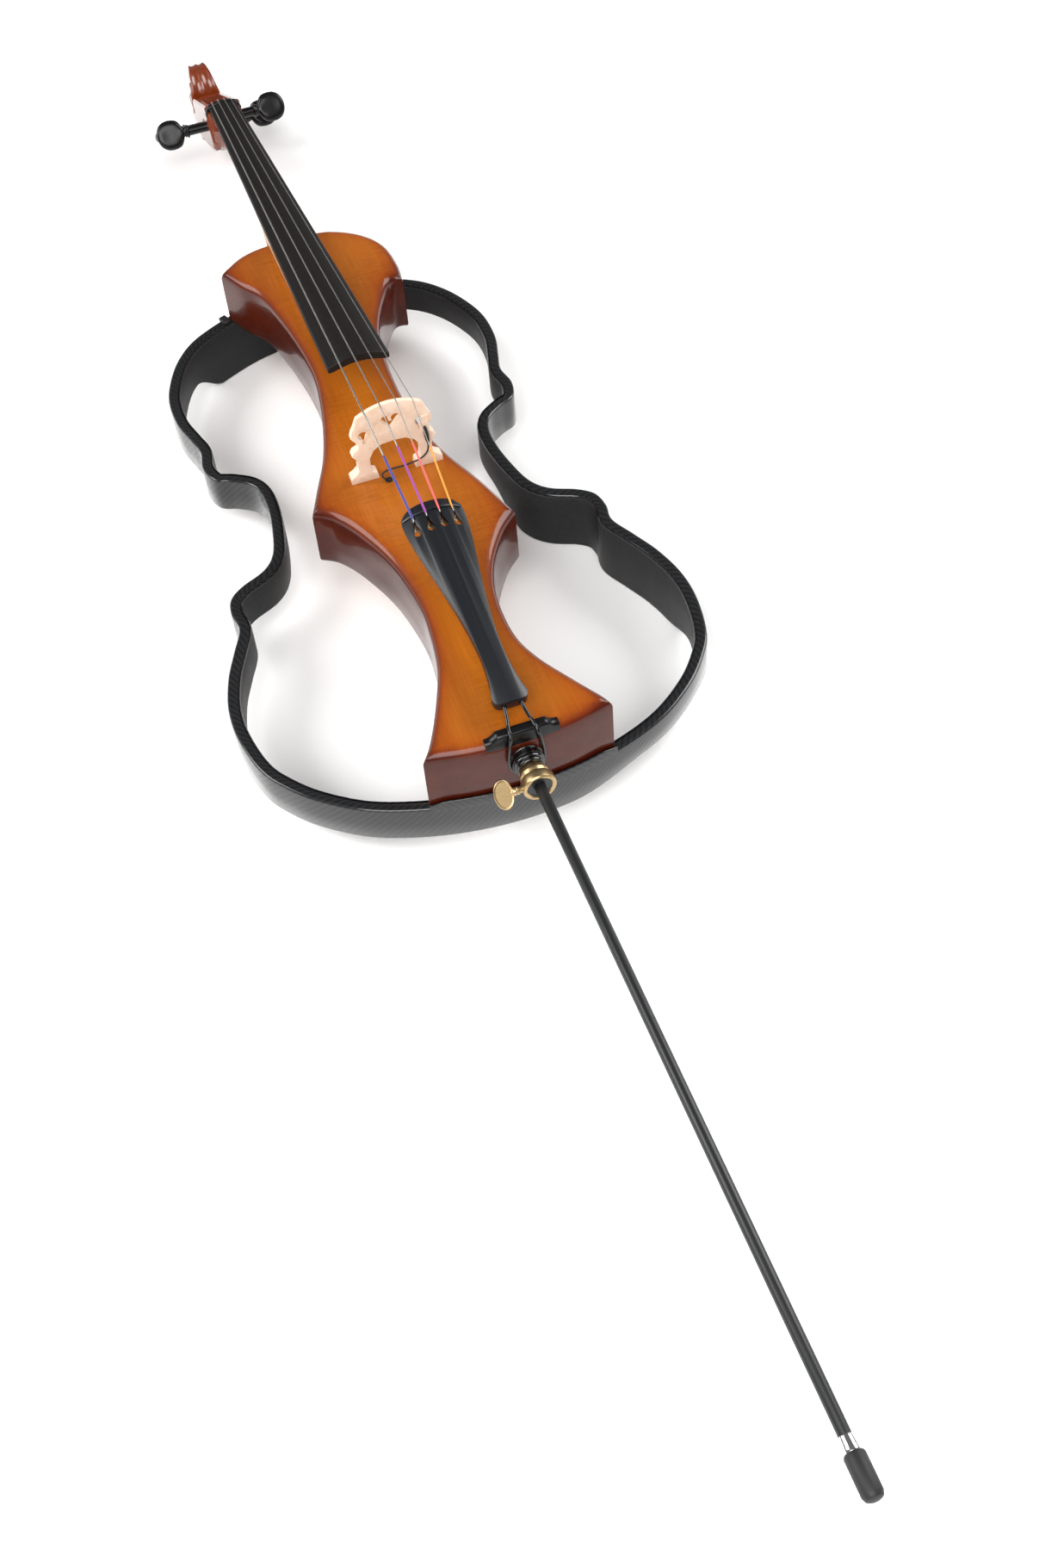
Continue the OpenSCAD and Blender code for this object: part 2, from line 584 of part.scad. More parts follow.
module preamp_board() {
    color("#1e4d2b") set_down() translate([-18, -245, -core_depth + pocket_depth - 1.6])
        cube([36, 120, 1.6]);
}
module one_pot(y) {
    color("#9a9b9d") set_down() translate([pot_x, y, -core_depth + cover_t]) difference() {
        union() {
            cylinder(r = 8.5, h = 9);
            translate([0, 0, -4]) cylinder(r = 3.6, h = 4 + eps);
        }
        translate([0, 0, -5]) cylinder(r = 3 + play, h = 12);
    }
}
module volume_pot() { one_pot(volume_y); }
module tone_pot() { one_pot(tone_y); }
module one_knob(y) {
    color("#202022") set_down() translate([pot_x, y, -core_depth]) {
        translate([0, 0, -14]) cylinder(r = 9, h = 11);
        translate([0, 0, -4]) cylinder(r = 3, h = 12);
    }
}
module volume_knob() { one_knob(volume_y); }
module tone_knob() { one_knob(tone_y); }
module output_jack() {
    color("#c4c4c6") set_down() translate([pot_x, jack_y, -core_depth]) difference() {
        union() {
            translate([0, 0, cover_t]) cylinder(r = 7.5, h = 18);
            translate([0, 0, -3]) cylinder(r = 4.5, h = 6);
        }
        translate([0, 0, -4]) cylinder(r = 3.25, h = 21);
    }
}
module jack_nut() {
    color("#b9babc") set_down() translate([pot_x, jack_y, -core_depth - 2.5]) difference() {
        cylinder(r = 7, h = 2.5, $fn = 6);
        translate([0, 0, -1]) cylinder(r = 4.5, h = 5);
    }
}

module set_down() { translate([0, -mid_y, floor_gap]) children(); }

body_core();
carbon_frame();
frame_brackets();
frame_bolts();
neck();
neck_bolts();
fingerboard();
nut();
bridge();
tailpiece();
tailpiece_fret();
tail_cord();
saddle();
string_c();
string_g();
string_d();
string_a();
silk_c();
silk_g();
silk_d();
silk_a();
ball_ends();
peg_c();
peg_g();
peg_d();
peg_a();
winding_c();
winding_g();
winding_d();
winding_a();
pickup_element();
pickup_sleeve();
pickup_cable();
cable_grommet();
endpin_socket();
endpin_rings();
endpin_holder();
holder_insert();
thumb_screw();
endpin_rod();
endpin_ferrule();
endpin_tip();
control_cover();
cover_screws();
battery_cover();
battery();
preamp_board();
volume_pot();
tone_pot();
volume_knob();
tone_knob();
output_jack();
jack_nut();
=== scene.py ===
# %% [markdown]
# An electric cello, dressed for its picture
#
# The shape and the joints of this cello come from a CAD model. Here we give that model its looks.
# We work through the real materials one by one: lacquered flamed maple, carbon twill, ebony-black
# fittings, brass, steel and silk. Lengths in the lists below are in millimetres, measured from the
# point under the bridge, because that is how an instrument maker measures. One small function then
# turns them into Blender's metres.

# %% Load the frame
import bpy
import bmesh
import math
import numpy as np
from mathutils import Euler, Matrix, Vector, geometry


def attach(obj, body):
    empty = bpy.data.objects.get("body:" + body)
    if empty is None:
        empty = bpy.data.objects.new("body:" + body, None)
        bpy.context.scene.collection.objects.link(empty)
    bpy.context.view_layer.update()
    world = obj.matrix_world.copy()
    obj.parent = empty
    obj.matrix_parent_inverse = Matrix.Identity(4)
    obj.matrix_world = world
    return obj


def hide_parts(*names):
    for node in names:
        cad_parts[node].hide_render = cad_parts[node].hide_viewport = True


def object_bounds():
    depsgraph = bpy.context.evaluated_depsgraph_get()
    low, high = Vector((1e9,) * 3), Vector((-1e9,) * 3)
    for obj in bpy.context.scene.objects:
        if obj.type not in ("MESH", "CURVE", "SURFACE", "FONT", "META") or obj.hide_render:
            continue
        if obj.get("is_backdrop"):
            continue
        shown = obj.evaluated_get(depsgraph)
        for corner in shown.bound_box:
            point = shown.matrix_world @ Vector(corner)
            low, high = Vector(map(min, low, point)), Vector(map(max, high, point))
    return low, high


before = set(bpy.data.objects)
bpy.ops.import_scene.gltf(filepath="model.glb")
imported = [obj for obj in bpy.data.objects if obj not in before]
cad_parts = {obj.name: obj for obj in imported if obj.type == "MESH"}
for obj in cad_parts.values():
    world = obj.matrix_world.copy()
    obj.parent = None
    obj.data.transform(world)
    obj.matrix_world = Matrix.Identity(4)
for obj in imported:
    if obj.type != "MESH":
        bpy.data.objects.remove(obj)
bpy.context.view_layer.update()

def show(name, data):
    shown = bpy.data.objects.new(name, data)
    bpy.context.scene.collection.objects.link(shown)
    return shown

# %% [markdown]
# Where things are
#
# The drawing's zero is on the front of the body, under the bridge. In the frame that the CAD model
# uses, zero lies on the floor, halfway along the instrument. The two differ by a plain shift, so we
# could move each object by hand. We shift the points instead: every object keeps its origin at zero,
# and patterns that follow object coordinates then line up from piece to piece.

# %% From the maker's drawing to the frame
DRAWING_SHIFT = (0.0, 79.44, 133.0)

def place(point):
    return tuple((point[k] + DRAWING_SHIFT[k]) / 1000 for k in range(3))

STRING_LENGTH = 690.0
STRING_HEIGHT = 84.0
NUT_Y = math.sqrt(STRING_LENGTH ** 2 - (STRING_HEIGHT + 3) ** 2)
CORE_DEPTH = 66.0
AXIS_Z = -24.0
print("the nut is", round(NUT_Y, 1), "mm from the bridge")

# %% [markdown]
# The camera and the light
#
# The cello lies on its back and we look down on it from beyond its endpin, so the long rod runs
# towards us. A floor that is nearly white, a dim even sky and three large soft lights are what a
# product studio uses. A small lamp would give hard black shadows, which this finish doesn't want.

# %% Camera
eye = bpy.data.cameras.new("studio_camera")
eye.lens = 45.24
eye.sensor_width = 36
eye.clip_end = 60
camera = show("studio_camera", eye)
camera.location = (-0.2838, -1.3051, 1.3919)
camera.rotation_euler = Euler([math.radians(v) for v in (38.724, 3.528, -19.603)])
bpy.context.scene.camera = camera
bpy.context.scene.view_settings.view_transform = "Standard"
print("camera looks down from", round(camera.location.z, 2), "m")

# %% [markdown]
# Colours and nodes
#
# Paint charts and screens give colours as sRGB hex values. Blender's shaders want linear light. One
# function changes one into the other, and every colour below goes through it. A second small
# function adds a node, sets it and links it, so that each finish reads as a short recipe. An input
# can be a number, a socket or a whole node, which then gives its first output.

# %% Helpers for finishes
def linear(hex_colour):
    channels = [int(hex_colour[k:k + 2], 16) / 255 for k in (1, 3, 5)]
    return tuple(c / 12.92 if c <= 0.04045 else ((c + 0.055) / 1.055) ** 2.4 for c in channels) + (1.0,)

def add(tree, kind, settings=(), **inputs):
    made = tree.nodes.new("ShaderNode" + kind)
    for name, value in dict(settings).items():
        setattr(made, name, value)
    for name, value in inputs.items():
        words = name.replace("_", " ")
        socket = made.inputs[int(words[1:])] if words[1:].isdigit() else made.inputs[words]
        if isinstance(value, bpy.types.Node):
            value = value.outputs[0]
        if isinstance(value, bpy.types.NodeSocket):
            tree.links.new(value, socket)
        else:
            socket.default_value = value
    return made

def maths(tree, operation, *values, clamp=False):
    settings = {"operation": operation, "use_clamp": clamp}
    return add(tree, "Math", settings, **{"_" + str(k): v for k, v in enumerate(values)})

def start_finish(name, **surface):
    finish = bpy.data.materials.new(name)
    finish.use_nodes = True
    tree = finish.node_tree
    tree.nodes.clear()
    shader = add(tree, "BsdfPrincipled", **surface)
    add(tree, "OutputMaterial", Surface=shader)
    where = add(tree, "TexCoord")
    scaled = add(tree, "Mapping", Vector=where.outputs["Object"], Scale=(1000, 1000, 1000))
    return finish, tree, shader, scaled

def ramp(tree, factor, *stops):
    made = add(tree, "ValToRGB", Fac=factor)
    while len(made.color_ramp.elements) < len(stops):
        made.color_ramp.elements.new(1.0)
    for element, (position, colour) in zip(made.color_ramp.elements, stops):
        element.position = position
        element.color = linear(colour)
    return made.outputs["Color"]

def bump(tree, shader, height, depth_mm, strength=1.0):
    made = add(tree, "Bump", Height=height, Distance=depth_mm / 1000, Strength=strength)
    tree.links.new(made.outputs[0], shader.inputs["Normal"])

print("white is", linear("#ffffff")[:3])

# %% [markdown]
# Lacquered flamed maple
#
# The core is maple under a thick amber lacquer. Maple gives the eye three things: fine dark pore
# lines along the grain about 1 mm apart, short flame bars across the grain about 3 mm apart, and a
# shine from the lacquer that sits over both. The edges and corners turn red-brown. This is partly
# the maker's stain and partly painted shade on the rolled edge and down the walls, darkest at the
# bottom. A ramp on position could do that, but the edge isn't straight, so we store one number for
# stain and painted shade on each point of the mesh and let the ramp read it.

# %% Finish: lacquered flamed maple
def maple_figure(tree, mm, bar_mm):
    along = add(tree, "Mapping", Vector=mm, Scale=(1 / 1.1, 1 / 48, 1 / 1.1))
    pores = add(tree, "TexNoise", Vector=along, Scale=1.0, Detail=4.0, Roughness=0.6)
    broad = add(tree, "Mapping", Vector=mm, Scale=(1 / 13, 1 / 210, 1 / 13))
    streaks = add(tree, "TexNoise", Vector=broad, Scale=1.0, Detail=2.0)
    crossed = add(tree, "Mapping", Vector=mm, Scale=(1 / (bar_mm * 6), 1 / bar_mm, 1 / (bar_mm * 6)))
    bars = add(tree, "TexNoise", Vector=crossed, Scale=1.0, Detail=3.0, Roughness=0.55)
    crisp = add(tree, "MapRange", Value=bars, From_Min=0.4, From_Max=0.66)
    patch = add(tree, "TexNoise", Vector=mm, Scale=1 / 60, Detail=1.0)
    patchy = add(tree, "MapRange", Value=patch, From_Min=0.36, From_Max=0.62)
    flame = maths(tree, "MULTIPLY", crisp, patchy)
    return pores, streaks, flame

amber_maple, tree, shader, mm = start_finish("lacquered_flamed_maple", Roughness=0.3, IOR=1.5,
    Specular_IOR_Level=0.15, Coat_Weight=0.5, Coat_Roughness=0.06, Coat_IOR=1.4)
pores, streaks, flame = maple_figure(tree, mm, 3.2)
# Darker red-brown towards the edges and corners: partly stain, partly painted shade on the rolled edge
# and the walls.
burst = add(tree, "Attribute", [("attribute_name", "burst")])
cloud = maths(tree, "MULTIPLY_ADD", streaks, 0.22, -0.11)
edge_stain_and_shade = maths(tree, "ADD", burst.outputs["Fac"], cloud, clamp=True)
lacquer_and_shade = ramp(tree, edge_stain_and_shade, (0.0, "#a55c17"), (0.22, "#974a10"), (0.5, "#78310a"),
    (0.78, "#571c07"), (1.0, "#431305"))
dark_pores = add(tree, "MapRange", Value=pores, From_Min=0.36, From_Max=0.66, To_Min=0.88, To_Max=1.05)
dark_bars = add(tree, "MapRange", Value=flame, To_Min=1.03, To_Max=0.84)
figure = maths(tree, "MULTIPLY", dark_pores, dark_bars)
wood = add(tree, "Mix", [("data_type", "RGBA"), ("blend_type", "MULTIPLY")], Factor=1.0, _6=lacquer_and_shade,
    _7=figure)
tree.links.new(wood.outputs[2], shader.inputs["Base Color"])
bump(tree, shader, pores, 0.02, 0.3)

# %% [markdown]
# Oiled maple, stained maple and bare maple
#
# The neck is maple with a thin oil, so that the hand slides. The head has the same wood under a
# red-brown stain. The bridge is bare split maple, planed and never varnished, so it is pale and
# dull. All three share the grain function above with the colours changed.

# %% Finish: oiled, stained and bare maple
def maple_finish(name, light, dark, roughness, coat, bar_mm=4.0):
    finish, tree, shader, mm = start_finish(name, Roughness=roughness, IOR=1.5, Coat_Weight=coat,
        Coat_Roughness=0.12)
    pores, streaks, flame = maple_figure(tree, mm, bar_mm)
    blend = maths(tree, "MULTIPLY_ADD", pores, 0.7, -0.12, clamp=True)
    deep = maths(tree, "MULTIPLY_ADD", flame, 0.35, blend, clamp=True)
    colour = ramp(tree, deep, (0.15, light), (0.75, dark))
    tree.links.new(colour, shader.inputs["Base Color"])
    bump(tree, shader, pores, 0.02, 0.4)
    return finish

oiled_maple = maple_finish("oiled_maple", "#d9b58c", "#b98a5c", 0.45, 0.1)
stained_maple = maple_finish("stained_maple", "#7a300d", "#3f1305", 0.25, 0.5)
bare_maple = maple_finish("bare_planed_maple", "#eed6c2", "#dcb999", 0.6, 0.0, bar_mm=1.6)
print("three more maples")

# %% [markdown]
# Carbon twill
#
# The outer ring is moulded carbon fibre. The cloth is a 2/2 twill: each flat tow of fibres, 1.8 mm
# wide here, passes over two tows and under two, one step further on every row, which draws diagonal
# lines. Black fibre shows only by how it shines, so the two thread directions get slightly different
# greys, a painted sheen, and opposite roundness, under a clear gloss resin. The pattern follows UV
# coordinates laid out in millimetres along the ring, because object coordinates would smear on its
# curved walls.

# %% Finish: carbon twill under gloss resin
TOW_MM = 1.8
carbon_twill, tree, shader, mm = start_finish("carbon_twill_resin", Roughness=0.34, IOR=1.5,
    Specular_IOR_Level=0.2, Coat_Weight=0.9, Coat_Roughness=0.05)
flat = add(tree, "UVMap", [("uv_map", "cloth_mm")])
tows = add(tree, "Mapping", Vector=flat, Scale=(1 / TOW_MM, 1 / TOW_MM, 1))
split = add(tree, "SeparateXYZ", Vector=tows)
column = maths(tree, "FLOOR", split)
row = maths(tree, "FLOOR", split.outputs[1])
step = maths(tree, "ADD", column, row)
turn = maths(tree, "FLOORED_MODULO", step, 4.0)
over = maths(tree, "LESS_THAN", turn, 1.5)
swell = []
for side in (0, 1):
    part = maths(tree, "FRACT", split.outputs[side])
    wide = maths(tree, "MULTIPLY", part, math.pi)
    swell.append(maths(tree, "SINE", wide))
rounded = add(tree, "Mix", [("data_type", "FLOAT")], Factor=over, A=swell[0], B=swell[1])
cloudy = add(tree, "TexNoise", Vector=mm, Scale=1 / 9, Detail=3.0)
# Painted sheen: the two thread directions get different greys for how each one shines.
grey = add(tree, "Mix", [("data_type", "RGBA")], Factor=over, _6=linear("#0c0d0e"),
    _7=linear("#232427"))
shaded = add(tree, "Mix", [("data_type", "RGBA"), ("blend_type", "MULTIPLY")], Factor=0.55,
    _6=grey.outputs[2], _7=cloudy)
tree.links.new(shaded.outputs[2], shader.inputs["Base Color"])
runs = add(tree, "TexNoise", Vector=mm, Scale=1 / 3.5, Detail=2.0)
relief = maths(tree, "MULTIPLY_ADD", runs, 1.6, rounded)
bump(tree, shader, relief, 0.12, 0.45)

carbon_inside, tree, shader, mm = start_finish("carbon_peel_ply", Roughness=0.5, IOR=1.5,
    Specular_IOR_Level=0.25)
speckle = add(tree, "TexNoise", Vector=mm, Scale=1 / 1.5, Detail=3.0)
tree.links.new(ramp(tree, speckle, (0.3, "#141516"), (0.75, "#232426")), shader.inputs["Base Color"])
bump(tree, shader, speckle, 0.06, 0.4)
print("tow width", TOW_MM, "mm")

# %% [markdown]
# Black fittings
#
# Five different blacks sit side by side on a cello, and the eye tells them apart by their gloss.
# The fingerboard is sanded and oiled by hand, so it is dull with a faint brown grain. Pegs, nut and
# saddle are polished ebony. The tailpiece is satin moulded plastic with a slight blue. The tail
# cord is glossy nylon, and rubber is the dullest.

# %% Finish: the blacks
def plain_finish(name, light, dark, roughness, coat=0.0, stretch=(1.0, 1.0, 1.0), relief=0.02,
        **surface):
    finish, tree, shader, mm = start_finish(name, Roughness=roughness, Coat_Weight=coat,
        Coat_Roughness=0.08, **surface)
    across = add(tree, "Mapping", Vector=mm, Scale=stretch)
    grain = add(tree, "TexNoise", Vector=across, Scale=1.0, Detail=4.0, Roughness=0.65)
    tree.links.new(ramp(tree, grain, (0.32, dark), (0.68, light)), shader.inputs["Base Color"])
    if relief:
        bump(tree, shader, grain, relief, 0.5)
    return finish

board_black = plain_finish("oiled_black_board", "#1d1816", "#0d0b0b", 0.55, stretch=(1.6, 1 / 14, 1.6),
    IOR=1.5, Specular_IOR_Level=0.25)
ebony = plain_finish("polished_ebony", "#0f0f11", "#080809", 0.26, stretch=(1.5, 1 / 12, 1.5), IOR=1.5,
    relief=0.01, Specular_IOR_Level=0.3)
tail_black = plain_finish("satin_moulded_tailpiece", "#15171c", "#0f1115", 0.33, stretch=(2, 2, 2),
    IOR=1.5, relief=0.01)
nylon = plain_finish("glossy_nylon_cord", "#101011", "#08080a", 0.12, IOR=1.53, relief=0)
rubber = plain_finish("moulded_rubber", "#1d1d1e", "#141415", 0.55, stretch=(2.5, 2.5, 2.5), IOR=1.5,
    relief=0.03)
gloss_black = plain_finish("gloss_black_collar", "#0e0e0f", "#080809", 0.12, coat=0.5, IOR=1.5,
    relief=0)
moulded = plain_finish("moulded_black_abs", "#1d1d1f", "#151516", 0.45, stretch=(3, 3, 3), IOR=1.53,
    relief=0.02)
rod_black = plain_finish("wrapped_carbon_tube", "#1c1d1f", "#111213", 0.38, stretch=(1.2, 1 / 30, 1.2),
    IOR=1.5, relief=0.01)
print("blacks made")

# %% [markdown]
# Metals, silk and the electronics
#
# Metals keep Blender's own index of refraction and take their look from colour and roughness.
# Turned brass shows fine rings, so its grain is stretched round the axis. Strings are wound with
# flat steel ribbon: close ridges, drawn every 2.4 mm here because the real 0.3 mm wouldn't show.
# The coloured ends are silk thread wound over the steel.

# %% Finish: metals
brass = plain_finish("satin_turned_brass", "#c4ab82", "#a98e62", 0.34, stretch=(0.2, 5.0, 0.2),
    relief=0.015, Metallic=1.0)
steel = plain_finish("turned_steel", "#c2c3c6", "#a9aaad", 0.28, stretch=(2, 2, 2), relief=0.01,
    Metallic=1.0)
chrome = plain_finish("nickel_plate", "#d9dadc", "#cfd0d2", 0.12, relief=0, Metallic=1.0)

def ridged_finish(name, colour, dark, pitch_mm, roughness, **surface):
    finish, tree, shader, mm = start_finish(name, Roughness=roughness, **surface)
    ridges = add(tree, "TexWave", [("bands_direction", "Y")], Vector=mm, Scale=0.314 / pitch_mm,
        Distortion=0.3)
    tree.links.new(ramp(tree, ridges.outputs["Fac"], (0.1, dark), (0.6, colour)),
        shader.inputs["Base Color"])
    bump(tree, shader, ridges.outputs["Fac"], 0.03, 0.3)
    return finish

wound_steel = ridged_finish("flat_wound_steel", "#c6c4c0", "#a5a29d", 2.4, 0.32, Metallic=1.0)
silk_finishes = {"c": ridged_finish("silk_thread_blue", "#3b3596", "#241f5c", 0.8, 0.55,
    Sheen_Weight=0.3), "g": ridged_finish("silk_thread_purple", "#a2369f", "#6d2172", 0.8, 0.55,
    Sheen_Weight=0.3), "d": ridged_finish("silk_thread_coral", "#f2615c", "#bf3d3f", 0.8, 0.55,
    Sheen_Weight=0.3), "a": ridged_finish("silk_thread_amber", "#f6a51c", "#c57a10", 0.8, 0.55,
    Sheen_Weight=0.3)}
battery_paint = plain_finish("printed_battery_sleeve", "#4a4e54", "#3c3f44", 0.35, IOR=1.5, relief=0)
solder_mask = plain_finish("green_solder_mask", "#20563a", "#153f28", 0.35, stretch=(0.6, 0.6, 0.6),
    IOR=1.5)
print("metals, silk and electronics made")

# %% [markdown]
# Building meshes
#
# A mesh is a list of points and a list of faces. These helpers turn lists into a piece that rides
# on a body, turn its faces outwards, join rings of points into a skin and sweep a round tube along
# a path. Curve objects could make the tubes, but plain meshes keep every piece alike.

# %% Helpers for meshes
def face_outwards(piece, merge=0):
    work = bmesh.new()
    work.from_mesh(piece.data)
    if merge:
        bmesh.ops.remove_doubles(work, verts=work.verts, dist=merge)
    bmesh.ops.recalc_face_normals(work, faces=work.faces)
    work.to_mesh(piece.data)
    work.free()

def shade(mesh, sharp):
    mesh.shade_smooth()
    mesh.set_sharp_from_angle(angle=math.radians(sharp))

def make_piece(name, points, faces, finishes, body, slot, stands_for=(), sharp=38, which=None,
        marks=None, cloth=None):
    mesh = bpy.data.meshes.new(name)
    mesh.from_pydata([place(p) for p in points], [], [tuple(f) for f in faces])
    for finish in finishes if isinstance(finishes, (list, tuple)) else [finishes]:
        mesh.materials.append(finish)
    if which is not None:
        mesh.polygons.foreach_set("material_index", which)
    if marks is not None:
        layer = mesh.attributes.new("burst", "FLOAT", "POINT")
        layer.data.foreach_set("value", np.array(marks, np.float32))
    if cloth is not None:
        uv = mesh.uv_layers.new(name="cloth_mm")
        uv.data.foreach_set("uv", np.array(cloth, np.float32).ravel())
    shade(mesh, sharp)
    piece = show(name, mesh)
    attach(piece, body)
    if stands_for:
        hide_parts(*stands_for)
    return piece

def skin(rings, capped=True, looped=False):
    count, size = len(rings), len(rings[0])
    points = [p for ring in rings for p in ring]
    faces = []
    for i in range(count if looped else count - 1):
        j = (i + 1) % count
        for k in range(size):
            m = (k + 1) % size
            faces.append((i * size + k, i * size + m, j * size + m, j * size + k))
    if capped and not looped:
        faces.append(tuple(range(size))[::-1])
        faces.append(tuple((count - 1) * size + k for k in range(size)))
    return points, faces

def make_skin(name, rings, *look, **more):
    return make_piece(name, *skin(rings), *look, **more)

def smooth_path(points, steps):
    points = [np.array(p, float) for p in points]
    out = []
    for i in range(len(points) - 1):
        a, b = points[max(i - 1, 0)], points[i]
        c, d = points[i + 1], points[min(i + 2, len(points) - 1)]
        for k in range(steps):
            t = k / steps
            out.append(0.5 * (2 * b + (c - a) * t + (2 * a - 5 * b + 4 * c - d) * t * t
                + (3 * b - a - 3 * c + d) * t ** 3))
    return out + [points[-1]]

def tube_rings(path, radius, sides=12):
    path = [np.array(p, float) for p in path]
    across = None
    rings = []
    for i, here in enumerate(path):
        ahead = path[min(i + 1, len(path) - 1)] - path[max(i - 1, 0)]
        ahead = ahead / np.linalg.norm(ahead)
        if across is None:
            across = np.cross(ahead, [0.3, 0.1, 0.9])
        across = across - ahead * (across @ ahead)
        across = across / np.linalg.norm(across)
        up = np.cross(ahead, across)
        r = radius[i] if hasattr(radius, "__len__") else radius
        rings.append([tuple(here + r * (math.cos(a) * across + math.sin(a) * up))
            for a in (2 * math.pi * k / sides for k in range(sides))])
    return rings

print("helpers ready")

# %% [markdown]
# Softened CAD parts
#
# Small turned and moulded parts have the right shape in CAD, but their edges are perfectly sharp,
# and no real edge is: the bright line along a worn or moulded edge tells the eye how big a thing
# is. We copy the CAD mesh, join its flat triangles into whole faces, and bevel the sharp edges by a
# few tenths of a millimetre. A bevel modifier would do it too, but it can't join the flats first.

# %% Soften every small part
def soften(node, finish, body="root", edge=0.35, angle=32, steps=2, name=None, stretch=None):
    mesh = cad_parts[node].data.copy()
    work = bmesh.new()
    work.from_mesh(mesh)
    bmesh.ops.remove_doubles(work, verts=work.verts, dist=2e-6)
    bmesh.ops.dissolve_limit(work, angle_limit=math.radians(0.6), verts=work.verts, edges=work.edges)
    if edge:
        crisp = [e for e in work.edges
                 if len(e.link_faces) == 2 and e.calc_face_angle() > math.radians(angle)]
        bmesh.ops.bevel(work, geom=crisp, offset=edge / 1000, segments=steps, profile=0.5,
            affect="EDGES", clamp_overlap=True)
    bmesh.ops.triangulate(work, faces=[f for f in work.faces if len(f.verts) > 4])
    mesh.clear_geometry()
    work.to_mesh(mesh)
    work.free()
    mesh.materials.clear()
    mesh.materials.append(finish)
    shade(mesh, 38)
    piece = show(name or node + "_finished", mesh)
    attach(piece, body)
    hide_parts(node)
    return piece

small_parts = [
    ("frame_brackets", moulded, "black_moulding", "root", 0.5),
    ("frame_bolts", steel, "steel_screws", "root", 0.3),
    ("neck_bolts", steel, "steel_screws", "root", 0.3),
    ("bridge", bare_maple, "bridge_maple", "root", 0.45),
    ("ball_ends", brass, "brass", "root", 0),
    ("tailpiece", tail_black, "tailpiece_black", "root", 0.9),
    ("tailpiece_fret", tail_black, "tailpiece_black", "root", 0.3),
    ("pickup_element", bare_maple, "bridge_maple", "root", 0.2),
    ("cable_grommet", rubber, "cable_black", "root", 0.2),
    ("endpin_socket", gloss_black, "gloss_black", "root", 0.3),
    ("endpin_rings", gloss_black, "rubber_black", "root", 0.4),
    ("endpin_holder", brass, "brass", "root", 0.35),
    ("holder_insert", moulded, "black_moulding", "root", 0.2),
    ("endpin_rod", rod_black, "carbon_rod", "endpin", 0.3),
    ("endpin_ferrule", chrome, "ferrule_chrome", "endpin", 0.3),
    ("endpin_tip", rubber, "rubber_black", "endpin", 0.8),
    ("control_cover", moulded, "black_moulding", "root", 0.4),
    ("battery_cover", moulded, "black_moulding", "root", 0.4),
    ("cover_screws", steel, "steel_screws", "root", 0.25),
    ("battery", battery_paint, "battery_shell", "root", 1.0),
    ("preamp_board", solder_mask, "circuit_board", "root", 0.1),
    ("volume_pot", steel, "steel_screws", "root", 0.3),
    ("tone_pot", steel, "steel_screws", "root", 0.3),
    ("volume_knob", moulded, "black_moulding", "volume", 0.8),
    ("tone_knob", moulded, "black_moulding", "tone", 0.8),
    ("output_jack", chrome, "ferrule_chrome", "root", 0.4),
    ("jack_nut", chrome, "ferrule_chrome", "root", 0.3)]
for node, finish, slot, body, edge in small_parts:
    soften(node, finish, body, edge)
print(len(small_parts), "parts softened")

# %% [markdown]
# The maple core
#
# The core is one long block, waisted like an hourglass with four sharp corners. Its top edge is
# rolled over a radius of about 12 mm. Pushing the outline inwards ring by ring would tangle at the
# sharp corners. So we lay points at fixed distances inside the outline, keep the ones that really
# are that far from every edge, let a triangulator join them, and set each point's height from its
# distance to the edge. The corners then get the same crisp hip line that a scraper leaves.

# %% Outline of the core
CORE_TOP = [(-81, 369), (-54, 389), (-21, 397), (31, 397), (57, 388), (80, 369), (94, 343), (97, 308),
    (94, 282)]
CORE_RIGHT_UP = [(94, 282), (79, 281), (61, 250), (47, 211), (40, 162), (38, 105), (42, 55), (53, 7),
    (71, -43), (86, -94)]
CORE_RIGHT_LOW = [(86, -94), (67, -114), (46, -150), (35, -190), (34, -238), (44, -273), (65, -312),
    (79, -336), (84, -348)]
CORE_FOOT = [(84, -348), (45, -356.5), (0, -360), (-45, -356.5), (-86, -348)]
CORE_LEFT_LOW = [(-86, -348), (-74, -329), (-57, -292), (-42, -250), (-35, -205), (-34, -168),
    (-42, -112), (-59, -63), (-75, -35), (-91, -23)]
CORE_LEFT_UP = [(-91, -23), (-77, 10), (-60, 50), (-46, 101), (-36, 160), (-36, 207), (-42, 262),
    (-52, 312), (-68, 341), (-81, 369)]
outline = []
for part in (CORE_TOP, CORE_RIGHT_UP, CORE_RIGHT_LOW, CORE_FOOT, CORE_LEFT_LOW, CORE_LEFT_UP):
    outline += smooth_path(part, 9)[:-1]
outline = np.array(outline)

def pushed_in(line, distance):
    before, after = np.roll(line, 1, 0), np.roll(line, -1, 0)
    one, two = line - before, after - line
    one, two = one / np.linalg.norm(one, axis=1)[:, None], two / np.linalg.norm(two, axis=1)[:, None]
    n1, n2 = np.stack([one[:, 1], -one[:, 0]], 1), np.stack([two[:, 1], -two[:, 0]], 1)
    share = np.maximum(1 + (n1 * n2).sum(1), 0.35)
    return line + (n1 + n2) / share[:, None] * distance

def edge_distance(points, line):
    best = np.full(len(points), 1e9)
    for a, b in zip(line, np.roll(line, -1, 0)):
        t = np.clip(((points - a) @ (b - a)) / ((b - a) @ (b - a)), 0, 1)
        best = np.minimum(best, np.linalg.norm(points - a - t[:, None] * (b - a), axis=1))
    return best

print(len(outline), "points round the core")

